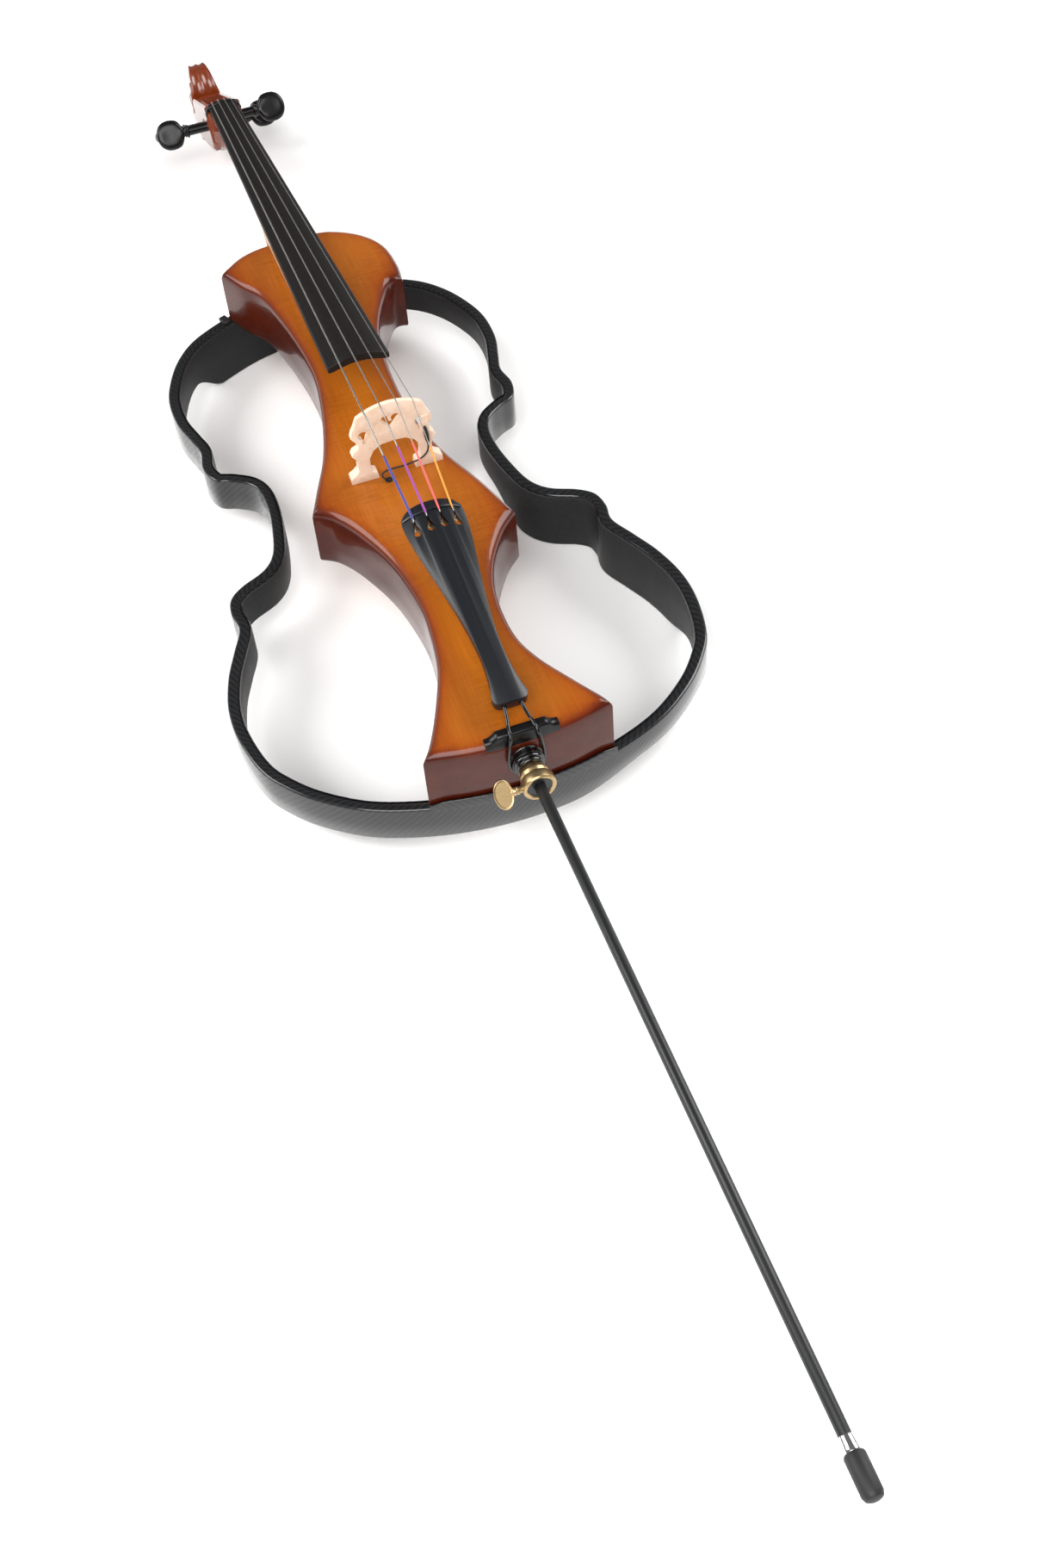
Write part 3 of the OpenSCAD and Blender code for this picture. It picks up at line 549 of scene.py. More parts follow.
# %% Top, walls and back of the core
ROLL_MM, DROP_MM = 12.0, 9.5
inner = []
for distance in (0.5, 1.6, 3.2, 5.2, 7.6, 10.0, 12.5):
    ring = pushed_in(outline, distance)
    far = edge_distance(ring, outline)
    spaced = [ring[0]]
    for point, gap in zip(ring, far):
        if gap > distance - 0.06 and np.linalg.norm(point - spaced[-1]) > 1.2:
            spaced.append(point)
    inner += spaced[1:]
grid = np.array([(x, y) for x in np.arange(-96, 98, 6.0) for y in np.arange(-356, 398, 6.0)])
inside = np.array([p for p, gap in zip(grid, edge_distance(grid, outline)) if gap > 15.5])
flat_points = [Vector(p) for p in outline] + [Vector(p) for p in inner] + [Vector(p) for p in inside]
loop = [(k, (k + 1) % len(outline)) for k in range(len(outline))]
top_points, _, top_faces, _, _, _ = geometry.delaunay_2d_cdt(flat_points, loop, [], 1, 1e-4)
top_flat = np.array([tuple(p) for p in top_points])
gap = edge_distance(top_flat, outline)
gap[gap < 0.01] = 0
share = np.clip(1 - gap / ROLL_MM, 0, 1)
height = -DROP_MM * (1 - np.sqrt(1 - share ** 2.2))
CORNERS = [(-91, -23), (86, -94), (84, -348), (-86, -348), (-81, 369), (94, 282)]

# Darker near the edge and the corners: partly stain, partly painted shade where the edge rolls over.
def burst_at(flat):
    gap = edge_distance(flat, outline)
    near_corner = sum(np.exp(-np.linalg.norm(flat - np.array(c), axis=1) / 17) for c in CORNERS)
    return np.clip(0.8 * np.exp(-gap / 4.5) + 0.14 * np.exp(-gap / 26) + 0.5 * near_corner, 0, 1)

core_points = [(p[0], p[1], h) for p, h in zip(top_flat, height)]
core_marks = list(burst_at(top_flat))
rings = [(0.0, -DROP_MM), (0.0, -24.0), (0.0, -44.0), (0.0, -62.6), (0.9, -65.1), (3.2, -66.0)]
start = len(core_points)
for inset, z in rings:
    ring = pushed_in(outline, inset) if inset else outline
    core_points += [(p[0], p[1], z) for p in ring]
    # Walls: dark red-brown stain with painted shade that deepens towards the bottom.
    core_marks += [0.9 + 0.1 * min(1, -z / 60)] * len(outline)
core_faces = [tuple(f) for f in top_faces]
n = len(outline)
for r in range(len(rings) - 1):
    a, b = start + r * n, start + (r + 1) * n
    core_faces += [(a + k, b + k, b + (k + 1) % n, a + (k + 1) % n) for k in range(n)]
back_rim = pushed_in(outline, rings[-1][0])
back_points, _, back_faces, _, _, _ = geometry.delaunay_2d_cdt([Vector(p)
    for p in back_rim] + [Vector(p) for p in inside], loop, [], 1, 1e-4)
back_start = len(core_points)
core_points += [(p[0], p[1], -CORE_DEPTH) for p in back_points]
core_marks += list(burst_at(np.array([tuple(p) for p in back_points])))
core_faces += [tuple(back_start + k for k in reversed(f)) for f in back_faces]
core = make_piece("maple_core", core_points, core_faces, amber_maple, "root", "amber_maple",
    ["body_core"], sharp=50, marks=core_marks)
face_outwards(core, merge=1e-5)
shade(core.data, 50)
print("core mesh has", len(core.data.polygons), "faces")

# %% [markdown]
# Recesses in the back
#
# Two covers lie flush in shallow recesses in the back, and the neck bolts sink into round holes.
# We cut these from the core with a boolean, the digital form of a router. The cutter is one mesh of
# plain boxes and drums, a tool that is thrown away after use.

# %% Rout the back
def drum(x, y, z, radius, tall, sides=40):
    return [[(x + radius * math.cos(2 * math.pi * k / sides),
        y + radius * math.sin(2 * math.pi * k / sides), h) for k in range(sides)]
        for h in (z, z + tall)]

def crate(low, high):
    return [[(low[0], low[1], z), (high[0], low[1], z), (high[0], high[1], z), (low[0], high[1], z)]
        for z in (low[2], high[2])]

cuts = [crate((-26, -254, -70), (26, -116, -64)), crate((-38, -344, -70), (38, -270, -64)),
    crate((-22, -250, -64.5), (22, -120, -40)), crate((-34, -340, -64.5), (34, -274, -40))]
cuts += [drum(0, y, -70, 6.2, 10) for y in (300, 350)]
cut_points, cut_faces = [], []
for pair in cuts:
    points, faces = skin(pair)
    cut_faces += [tuple(k + len(cut_points) for k in f) for f in faces]
    cut_points += points
cutter_mesh = bpy.data.meshes.new("router")
cutter_mesh.from_pydata([place(p) for p in cut_points], [], cut_faces)
cutter = show("router", cutter_mesh)
face_outwards(cutter)
rout = core.modifiers.new("rout", "BOOLEAN")
rout.operation, rout.solver, rout.object, rout.use_self = "DIFFERENCE", "EXACT", cutter, True
routed = bpy.data.meshes.new_from_object(core.evaluated_get(bpy.context.evaluated_depsgraph_get()))
core.modifiers.clear()
core.data = routed
bpy.data.objects.remove(cutter)

# The cut adds corners that carry no value for stain and painted shade, so every value is worked out
# again from its place, with painted shade deepening down the walls
there = np.array([v.co for v in core.data.vertices]) * 1000 - np.array(DRAWING_SHIFT)
stain_and_shade_values = np.where(there[:, 2] > -DROP_MM - 0.01, burst_at(there[:, :2]),
    0.9 + 0.1 * np.minimum(1, -there[:, 2] / 60))
flat_back = there[:, 2] < -CORE_DEPTH + 0.05
stain_and_shade_values[flat_back] = burst_at(there[flat_back, :2])
core.data.attributes["burst"].data.foreach_set("value", stain_and_shade_values.astype(np.float32))
shade(core.data, 50)
print("after routing:", len(core.data.polygons), "faces")

# %% [markdown]
# The carbon ring
#
# The ring is a flat band, 12 mm wide seen from the front and 40 mm deep, that follows a cello's
# outline. Two lobes hang 27 mm deeper and carry the player's chest and knee. It is one closed skin:
# a rounded section carried round the outline, with its lower edge found for each place.
# A bevelled curve could do it if the depth were constant.

# %% Carbon ring
RING_HALF = [(0, 398), (48, 391), (85, 378), (125, 356), (149, 330), (165, 299), (174, 267), (174, 230),
    (167, 200), (162, 178), (165.5, 153), (159, 131), (143, 122), (127, 110), (120, 93), (119.5, 67),
    (124, 36), (132, 6), (146, -12), (171, -25), (185, -38), (189, -57), (187, -78), (199, -105),
    (212, -135), (221, -171), (221.5, -208), (213, -250), (198, -277), (174, -304), (137, -331),
    (92, -349), (46, -359.5), (0, -363)]
BAND_W, BAND_DEPTH, LOBE = 12.0, 40.0, 27.0

def ease(a, b, v):
    t = min(1, max(0, (v - a) / (b - a)))
    return t * t * (3 - 2 * t)

def band_low(x, y):
    return (-CORE_DEPTH - BAND_DEPTH - LOBE * ease(-148, -108, x) * (1 - ease(-30, 60, x)) * ease(230,
        300, y) - LOBE * ease(90, 112, x) * (1 - ease(4, 62, y)) * ease(-238, -160, y) + 6 * ease(60,
        110, x) * ease(150, 260, y) + 12 * ease(40, 120, x) * (1 - ease(-300, -255, y)))

ring_line = RING_HALF + [(-x, y) for x, y in RING_HALF[-2:0:-1]]
closed = smooth_path([ring_line[-1]] + ring_line + ring_line[:2], 8)
closed = np.array(closed[8:8 + 8 * len(ring_line)])
before, after = np.roll(closed, 1, 0), np.roll(closed, -1, 0)
heading = (after - before) / np.linalg.norm(after - before, axis=1)[:, None]
inward = np.stack([heading[:, 1], -heading[:, 0]], 1)
R = 2.6
SKIN_IN = 0.02  # the drawn wall stays this far inside the CAD wall
sections, cloth_v = [], []
travel = np.concatenate([[0], np.cumsum(np.linalg.norm(np.diff(closed, axis=0), axis=1))])
for p, inn in zip(closed, inward):
    low = band_low(p[0], p[1])
    top = -CORE_DEPTH
    shape = [(0, low + R), (0, (low + top) / 2), (0, top - R)]
    shape += [(R * (1 - math.cos(a)), top - R * (1 - math.sin(a)))
        for a in np.radians([22, 45, 67, 90])]
    shape += [(BAND_W / 2, top)]
    shape += [(BAND_W - R * (1 - math.sin(a)), top - R * (1 - math.cos(a)))
        for a in np.radians([90, 60, 30])]
    shape += [(BAND_W, top - R - 0.4), (BAND_W, (low + top) / 2), (BAND_W, low + R)]
    shape += [(BAND_W - R * (1 - math.cos(a)), low + R * (1 - math.sin(a)))
        for a in np.radians([30, 60, 90])]
    shape += [(R * (1 - math.sin(a)), low + R * (1 - math.cos(a))) for a in np.radians([90, 60, 30])]
    sections.append([(p[0] + inn[0] * max(d, SKIN_IN), p[1] + inn[1] * max(d, SKIN_IN), z) for d,
        z in shape])
    steps = [0]
    for (d0, z0), (d1, z1) in zip(shape, shape[1:] + shape[:1]):
        steps.append(steps[-1] + math.hypot(d1 - d0, z1 - z0))
    cloth_v.append(steps)
points, faces = skin(sections, looped=True)
size = len(sections[0])
cloth, which = [], []
for i in range(len(sections)):
    j = (i + 1) % len(sections)
    end = travel[i + 1] if i + 1 < len(travel) else travel[-1] + np.linalg.norm(closed[0] - closed[-1])
    for k in range(size):
        v0, v1 = cloth_v[i][k] - cloth_v[i][7], cloth_v[i][k + 1] - cloth_v[i][7]
        w0, w1 = cloth_v[j][k] - cloth_v[j][7], cloth_v[j][k + 1] - cloth_v[j][7]
        cloth += [(travel[i], v0), (travel[i], v1), (end, w1), (end, w0)]
        which.append(1 if 11 <= k <= 14 else 0)
ring = make_piece("carbon_ring", points, faces, [carbon_twill, carbon_inside], "root", "carbon_twill",
    ["carbon_frame"], sharp=60, which=which, cloth=cloth)
face_outwards(ring)
print("ring length", round(float(travel[-1])), "mm")

# %% [markdown]
# The lip at the foot
#
# Where the ring passes the foot of the core it rises 8 mm, so that no gap shows. A thin bright edge
# of resin runs along its top. It is a strip with its own two faces and a rounded crest.

# %% Lip
lip_line = [p for p in closed if p[1] < -345 and abs(p[0]) < 90]
lip_line = sorted([tuple(p) for p in lip_line], key=lambda p: p[0])
lip_rings, lip_travel, run = [], [], 0.0
for k, (x, y) in enumerate(lip_line):
    if k:
        run += math.dist((x, y), lip_line[k - 1])
    lip_travel.append(run)
    fade = 1 - ease(70, 90, abs(x)) * 0.6
    rise = -CORE_DEPTH + 8 * fade
    lip_rings.append([(x, y, -70), (x, y, rise - 0.7), (x, y + 0.25, rise - 0.2), (x, y + 0.8, rise),
        (x, y + 1.5, rise), (x, y + 2.0, rise - 0.3), (x, y + 2.2, rise - 0.8), (x, y + 2.2, -70)])
points, faces = skin(lip_rings)
cloth = []
for i in range(len(lip_rings) - 1):
    for k in range(8):
        v0, v1 = lip_rings[i][k][2], lip_rings[i][(k + 1) % 8][2]
        cloth += [(lip_travel[i], v0), (lip_travel[i], v1), (lip_travel[i + 1], v1),
            (lip_travel[i + 1], v0)]
cloth += [(0, 0)] * 16
make_piece("carbon_lip", points, faces, carbon_twill, "root", "carbon_twill", sharp=50, cloth=cloth)
print("lip is", round(run), "mm long")

# %% [markdown]
# The neck
#
# A cello's neck is a half-round beam under the fingerboard that swells into a heel where it meets
# the body. Each section hangs from the underside of the board: a flat top and a half ellipse below.
# Near the head the pale oiled wood gives way to red-brown stain along a scalloped edge.

# %% Neck shaft and heel
BOARD_L, BOARD_LOW_END, BOARD_LOW_NUT = 581.0, 46.0, -13.0
BOARD_END_Y = NUT_Y - BOARD_L

def board_low(y):
    return BOARD_LOW_NUT + (BOARD_LOW_END - BOARD_LOW_NUT) * (NUT_Y - y) / BOARD_L

def d_section(y, width, deep, power=2.0):
    ring = []
    for k in range(25):
        a = math.pi * (1 + k / 24)
        c, s = math.cos(a), math.sin(a)
        ring.append((width / 2 * math.copysign(abs(c) ** (2 / power), c), y,
            board_low(y) - 0.15 + deep * math.copysign(abs(s) ** (2 / power), s)))
    return ring

neck_shaded, tree, shader, mm = start_finish("oiled_to_stained_maple", Roughness=0.4, IOR=1.5,
    Coat_Weight=0.25, Coat_Roughness=0.12)
pores, streaks, flame = maple_figure(tree, mm, 4.0)
tint = add(tree, "Attribute", [("attribute_name", "burst")])
tones = [ramp(tree, pores, (0.35, light), (0.65, dark)) for light,
    dark in (("#d9b58c", "#bd9062"), ("#8f3d12", "#5a1f08"))]
both = add(tree, "Mix", [("data_type", "RGBA")], Factor=tint.outputs["Fac"], _6=tones[0], _7=tones[1])
tree.links.new(both.outputs[2], shader.inputs["Base Color"])
neck_sections = [(402, 45, 58, 2.6), (404, 45, 56, 2.5), (408, 44.8, 48, 2.4), (414, 44.6, 38, 2.2),
    (420, 44.4, 31, 2.1), (428, 44, 27, 2.0), (440, 43.4, 25, 2.0), (480, 40.6, 23.6, 2.0),
    (540, 37, 22.2, 2.0), (600, 33.6, 20.8, 2.0)]
neck_sections += [(y, 33.6 - (y - 600) * 0.042, 20.8 - (y - 600) * 0.016, 2.0)
    for y in range(606, 656, 3)]
neck_sections += [(656, 31.6, 20.2, 2.0), (664, 32.6, 21.5, 2.1), (672, 34.5, 24, 2.2),
    (680, 37, 27, 2.3), (685, 39, 29.5, 2.4), (691, 41, 31, 2.5)]
points, faces = skin([d_section(*s) for s in neck_sections])

def stain_edge(x):
    return 636 + 16 * abs(math.sin(x * 0.24))

neck_marks = [1.0 if p[1] > stain_edge(p[0]) else 0.0 for p in points]
make_piece("neck_shaft", points, faces, neck_shaded, "root", "neck_maple", ["neck"], sharp=50,
    marks=neck_marks)

root_block = []
for y, half, drop in ((255.5, 20, 1.2), (256, 20.2, 0.4), (258, 20.4, 0.16), (300, 20.8, 0.16),
        (360, 21.6, 0.16), (396, 22, 0.16), (401, 22, 0.16), (404, 22, 0.6)):
    top = board_low(y) - drop
    root_block.append([(-half, y, -0.3), (-half, y, top - 0.8), (-half + 0.8, y, top),
        (half - 0.8, y, top), (half, y, top - 0.8), (half, y, -0.3)])
make_skin("neck_root", root_block, oiled_maple, "root", "neck_maple", sharp=30)
print("neck from the body to", round(neck_sections[-1][0]), "mm")

# %% [markdown]
# The head
#
# The pegbox is a trough that leans back by 26 degrees. Its head ends in a scroll whose face widens
# like a fan and carries two flutes with a ridge between them, carved with a gouge. We draw the
# trough as cheeks and a floor, and the scroll as a fluted strip wound round its eye. Sculpting would
# also work, but a wound strip keeps both sides alike.

# %% Pegbox
LEAN = math.radians(26)

def head(x, s, d):
    return (x, NUT_Y + 6 + s * math.cos(LEAN) + d * math.sin(LEAN),
        -8 - s * math.sin(LEAN) + d * math.cos(LEAN))

def half_width(s):
    return float(np.interp(s, [-8, 0, 60, 128, 150], [21, 21, 20, 19, 17.5]))

def floor_depth(s):
    return float(np.interp(s, [-20, -8, 10, 70, 128, 140], [-24, -32, -53.5, -51.5, -47.5, -43.5]))

for side in (-1, 1):
    cheek = []
    for s in (1.9, 4, 8, 20, 40, 60, 80, 100, 118, 124):
        outer, inner = half_width(s), float(np.interp(s, [4.5, 122, 124], [13.5, 11, 10.6]))
        low = floor_depth(s)
        cheek.append([head(side * v, s, d) for v, d in ((inner, low + 6), (inner, -1.0),
            (inner + 0.8, 0.0), (outer - 2.2, 0.0), (outer, -2.2), (outer + 0.4, low * 0.5),
            (outer, low + 3.0), (outer - 2.6, low), (inner, low + 0.2))])
    piece = make_skin("pegbox_cheek_" + ("bass" if side < 0 else "treble"), cheek, stained_maple,
        "root", "neck_maple", sharp=30)
    face_outwards(piece)
floor_rings = []
for s in (-12, -4, 4, 20, 60, 100, 126):
    w, low = half_width(s) - 2.5, floor_depth(s)
    top = min(low + 10, -42.2) if s > 2 else -6 + 0.15 * s
    floor_rings.append([head(-w, s, low + 1.5), head(-w * 0.5, s, low - 1), head(0, s, low - 0.3),
        head(w * 0.5, s, low - 1), head(w, s, low + 1.5), head(w, s, top), head(-w, s, top)])
make_skin("pegbox_floor", floor_rings, stained_maple, "root", "neck_maple", sharp=40)
print("pegbox drawn")

# %% Scroll
EYE_S, EYE_D, SCROLL_R = 163.3, 6.5, 28.8
strip = []
for a in np.linspace(232, -150, 96):
    t = math.radians(a)
    radius = SCROLL_R + 3.0 * ease(196, 232, a)
    half = float(np.interp(a, [-150, -110, -60, 0, 60, 84, 130, 174, 202, 232],
        [19, 17, 13, 10, 8.8, 9.1, 12, 15.4, 18.6, 19]))
    deep = 1.9 * ease(232, 205, a)
    ring = []
    for k in range(-12, 13):
        u = k / 12
        flute = deep * (math.sin(math.pi * min(1, abs(u) / 0.92)) ** 1.5 if abs(u) < 0.92 else 0)
        inset = 0.9 if abs(k) == 12 else 0
        r = radius - flute * min(1.0, half / 14) - inset
        ring.append(head(u * half, EYE_S + r * math.cos(t), EYE_D + r * math.sin(t)))
    core_r = 10.0
    for u in (1.0, 0.5, 0, -0.5, -1.0):
        ring.append(head(u * (half - 0.6), EYE_S + core_r * math.cos(t), EYE_D + core_r * math.sin(t)))
    strip.append(ring)
scroll = make_skin("scroll", strip, stained_maple, "root", "neck_maple", sharp=60)
face_outwards(scroll)
for side in (-1, 1):
    rings = []
    for r, x in ((19.5, 5.5), (19.5, 7.6), (18.6, 8.4), (14.2, 8.8), (14.0, 10.4), (13.0, 11.2),
            (9.2, 11.5), (9.0, 13.2), (8.0, 13.9), (4.5, 14.3), (0.5, 14.4)):
        rings.append([head(side * x, EYE_S + r * math.cos(a), EYE_D + r * math.sin(a))
            for a in np.linspace(0, 2 * math.pi, 41)[:-1]])
    make_skin("scroll_eye_" + ("bass" if side < 0 else "treble"), rings, stained_maple, "root",
        "neck_maple", sharp=35)
block = []
for s, low, high in ((118, -48.4, -2.5), (124, -48, -0.6), (132, -47, -5.5), (138, -44.8, -9.5),
        (146, -41, -11), (154, -36.5, -12), (162, -31, -13), (168, -26.5, -16)):
    w = half_width(s)
    block.append([head(-w + 1.2, s, low), head(w - 1.2, s, low), head(w, s, low + 1.2),
        head(w, s, high - 1.5), head(w - 1.5, s, high), head(0, s, high + 1.0), head(-w + 1.5, s, high),
        head(-w, s, high - 1.5), head(-w, s, low + 1.2)])
make_skin("scroll_throat", block, stained_maple, "root", "neck_maple", sharp=35)
print("scroll strip has", len(strip), "sections")

# %% [markdown]
# The fingerboard
#
# The board is a long tapering plank with a crowned top, so that each string can be bowed alone. One
# flat facet runs under the lowest string, which swings widest. Its underside is hollowed beyond the
# neck. At each end the last ring is shrunk by half a millimetre, which rounds the edges.

# %% Fingerboard
def board_section(t, shrink=0.0, hollow=0.0):
    width = 31.8 + (62.2 - 31.8) * t
    crown = 2.6 + (7.6 - 2.6) * t
    y = NUT_Y - 0.02 - (BOARD_L - 0.04) * t
    z = board_low(y)
    half = width / 2 - shrink
    top = []
    facet = -0.44 * half
    for k in range(-30, 31):
        x = half * k / 30
        side = half - abs(x)
        arch = crown * (1 - (x / half) ** 2)
        if x < facet:
            arch = crown * 0.8 * (x + half) / (half + facet)
        lift = 6 + arch - shrink
        lift -= 0.9 * max(0, 1 - side / 0.9) ** 2
        top.append((x, y, z + lift))
    under = [(half, y, z + 0.5 + shrink), (half - 0.5, y, z + shrink)]
    under += [(half * u, y, z + shrink + hollow * max(0, 1 - (u / 0.82) ** 2))
        for u in (0.85, 0.6, 0.3, 0, -0.3, -0.6, -0.85)]
    under += [(-half + 0.5, y, z + shrink), (-half, y, z + 0.5 + shrink)]
    return top + under

stations = [0.0, 0.001, 0.2, 0.4, 0.5, 0.56, 0.6, 0.7, 0.8, 0.9, 0.97, 0.998, 1.0]
sections = []
for t in stations:
    sections.append(board_section(t, 0.5 if t in (0.0, 1.0) else 0.0, 5.0 * ease(0.55, 0.6, t)))
piece = make_skin("fingerboard_black", sections, board_black, "root", "black_board", ["fingerboard"],
    sharp=28)
face_outwards(piece)
print("board end at", round(BOARD_END_Y, 1), "mm")

# %% [markdown]
# The nut
#
# The nut is a small ebony bar that carries the strings off the end of the board. It is a little
# wider than the board, and its ends roll down on to the cheeks of the pegbox.

# %% Nut
nut_rings = []
for x in np.linspace(-21.4, 21.4, 41):
    over = max(0, abs(x) - 15.9) / 5.5
    up = 9.7 - min(abs(x), 15.9) ** 2 / 84 - 9.0 * over ** 1.6
    low = 0.15 if abs(x) < 16 else max(-3.5, 0.15 - 5.0 * over)
    z = BOARD_LOW_NUT
    nut_rings.append([(x, NUT_Y + 0.1, z + low), (x, NUT_Y + 0.1, z + up - 1.2),
        (x, NUT_Y + 0.7, z + up - 0.35), (x, NUT_Y + 2, z + up), (x, NUT_Y + 4.4, z + up - 0.25),
        (x, NUT_Y + 5.6, z + up - 1.0), (x, NUT_Y + 6, z + up - 2.2), (x, NUT_Y + 6, z + low)])
make_skin("nut_ebony", nut_rings, ebony, "root", "ebony", ["nut"], sharp=40)

# %% [markdown]
# The thumb screw
#
# One brass screw locks the endpin. Its shank is turned in two steps and its head is a flat oval key
# with a rounded rim, cast with the shank. A plain disc would lose the bright line of that rim.

# %% Thumb screw
THUMB_Y, THUMB_TILT = -392.0, math.radians(42)

def thumb(out, u, v):
    # out runs along the shank to the bass side, u lies in the plane of the key, v is through it
    du = u * math.cos(THUMB_TILT) - v * math.sin(THUMB_TILT)
    dv = u * math.sin(THUMB_TILT) + v * math.cos(THUMB_TILT)
    return (-out, THUMB_Y + dv, AXIS_Z + du)

shank = []
for out, r in ((5.7, 2.2), (6.2, 2.9), (17, 2.95), (17.4, 3.0), (17.8, 3.7), (19.4, 3.8), (20, 3.3),
        (20.4, 3.3), (21, 3.8), (22.6, 3.7), (23.4, 3.2), (25, 2.6)):
    shank.append([thumb(out, r * math.cos(a), r * math.sin(a))
        for a in np.linspace(0, 2 * math.pi, 25)[:-1]])
make_skin("thumb_screw_shank", shank, brass, "thumb", "brass", ["thumb_screw"], sharp=35)
key = []
for v, grow in ((-1.6, 0.80), (-1.6, 0.90), (-1.75, 0.93), (-1.5, 0.975), (-0.7, 1.0), (0.7, 1.0),
        (1.5, 0.975), (1.75, 0.93), (1.6, 0.90), (1.25, 0.80), (1.15, 0.4)):
    key.append([thumb(31 + 8.5 * grow * math.cos(a), 13.2 * grow * math.sin(a), v)
        for a in np.linspace(0, 2 * math.pi, 49)[:-1]])
make_skin("thumb_screw_key", key, brass, "thumb", "brass", sharp=50)

# %% [markdown]
# The pegs
#
# Each peg is a tapered stick with turned rings and a thumb piece like a flattened pear. The stick
# is turned on a lathe and the thumb piece is shaped from the same wood, so one skin covers both: its
# sections start round and grow into wide, thin ovals.

# %% Pegs and their windings
PEG_S, PEG_SIDE, PEG_TURN = (24, 82, 108, 46), (-1, -1, 1, 1), (100, 20, 60, 78)
PEG_DEPTH, PEG_OUT = (24, 29, 33, 22), (65, 62, 59, 62)
STRINGS = "cgda"
STRING_R = (0.75, 0.62, 0.5, 0.4)
WIND_X = (-7, -3, 3, 7)
PEG_RINGS = [(-21, 4.6, 4.6), (-20.6, 5.1, 5.1), (-20, 5.3, 5.3), (20, 5.5, 5.5), (42.6, 5.5, 5.5),
    (43, 6.2, 6.2), (43.3, 7.3, 7.3), (44.2, 7.7, 7.7), (45.2, 7.3, 7.3), (45.5, 6.3, 6.3),
    (46, 6.2, 6.2), (46.8, 6.6, 6.6), (47.7, 6.2, 6.2), (48.2, 5.2, 5.2), (49.2, 5.4, 4.9),
    (50.2, 7.4, 5.2), (51.4, 10.2, 5.5), (53.2, 13.0, 5.8), (56, 15.2, 6.0), (60, 16.4, 5.9),
    (65, 16.8, 5.6), (70, 16.2, 5.4), (74, 14.4, 5.2), (77, 11.8, 4.9), (79, 8.8, 4.4),
    (80.3, 5.4, 3.5), (80.9, 2.0, 1.6)]
for i, letter in enumerate(STRINGS):
    depth, side, turn = PEG_DEPTH[i], PEG_SIDE[i], math.radians(PEG_TURN[i])
    rings = []
    for z, wide, thin in PEG_RINGS:
        blend = ease(50, 56, z)
        ring = []
        for k in range(32):
            a = 2 * math.pi * k / 32
            c, s = math.cos(a), math.sin(a)
            power = 1 - 0.18 * blend
            u = thin * math.copysign(abs(c) ** power, c)
            v = wide * math.copysign(abs(s) ** power, s)
            dent = 1 - 0.16 * blend * max(0, 1 - (v / 12) ** 2) * (1 - ease(70, 79, z))
            u = u * dent
            lx, ly = u * math.cos(turn) - v * math.sin(turn), u * math.sin(turn) + v * math.cos(turn)
            reach = z if z < 30 else z + PEG_OUT[i] - 65
            ring.append(head(side * reach, PEG_S[i] + ly, -depth - side * lx))
        rings.append(ring)
    piece = make_skin("peg_" + letter + "_turned", rings, ebony, "tuner_" + letter, "ebony",
        ["peg_" + letter], sharp=40)
    r = STRING_R[i]
    coil = []
    low = WIND_X[i] - 2.5 - r
    for k in range(4 * 16 + 1):
        a = 2 * math.pi * k / 16
        reach = 5.5 + min(r, 0.85)
        coil.append(head(low + r + 5.0 * k / 64, PEG_S[i] + reach * math.cos(a),
            -depth + reach * math.sin(a)))
    make_skin("winding_" + letter + "_turns", tube_rings(coil, min(r, 0.85), 8), wound_steel,
        "tuner_" + letter, "string_steel", ["winding_" + letter])
print("four pegs")

# %% [markdown]
# The strings and their silk
#
# Four strings run from the pegs over the nut and the bridge to the tailpiece. Behind the bridge each
# is wrapped in coloured silk. They get thinner from the lowest to the highest, from 1.5 to 0.8 mm.
# They stay straight between supports, so a few rings along each tube are enough.

# %% Strings
BRIDGE_SPREAD, NUT_SPREAD, TAIL_SPREAD = 47.0, 22.4, 37.2
TAIL_TOP, TAIL_LEAN = (0, -117, 60), math.radians(9.7)

def leaned(x, y, z):
    return np.array([x, TAIL_TOP[1] + y * math.cos(TAIL_LEAN) - z * math.sin(TAIL_LEAN),
        TAIL_TOP[2] + y * math.sin(TAIL_LEAN) + z * math.cos(TAIL_LEAN)])

def spread(i, width):
    return (i - 1.5) * width / 3

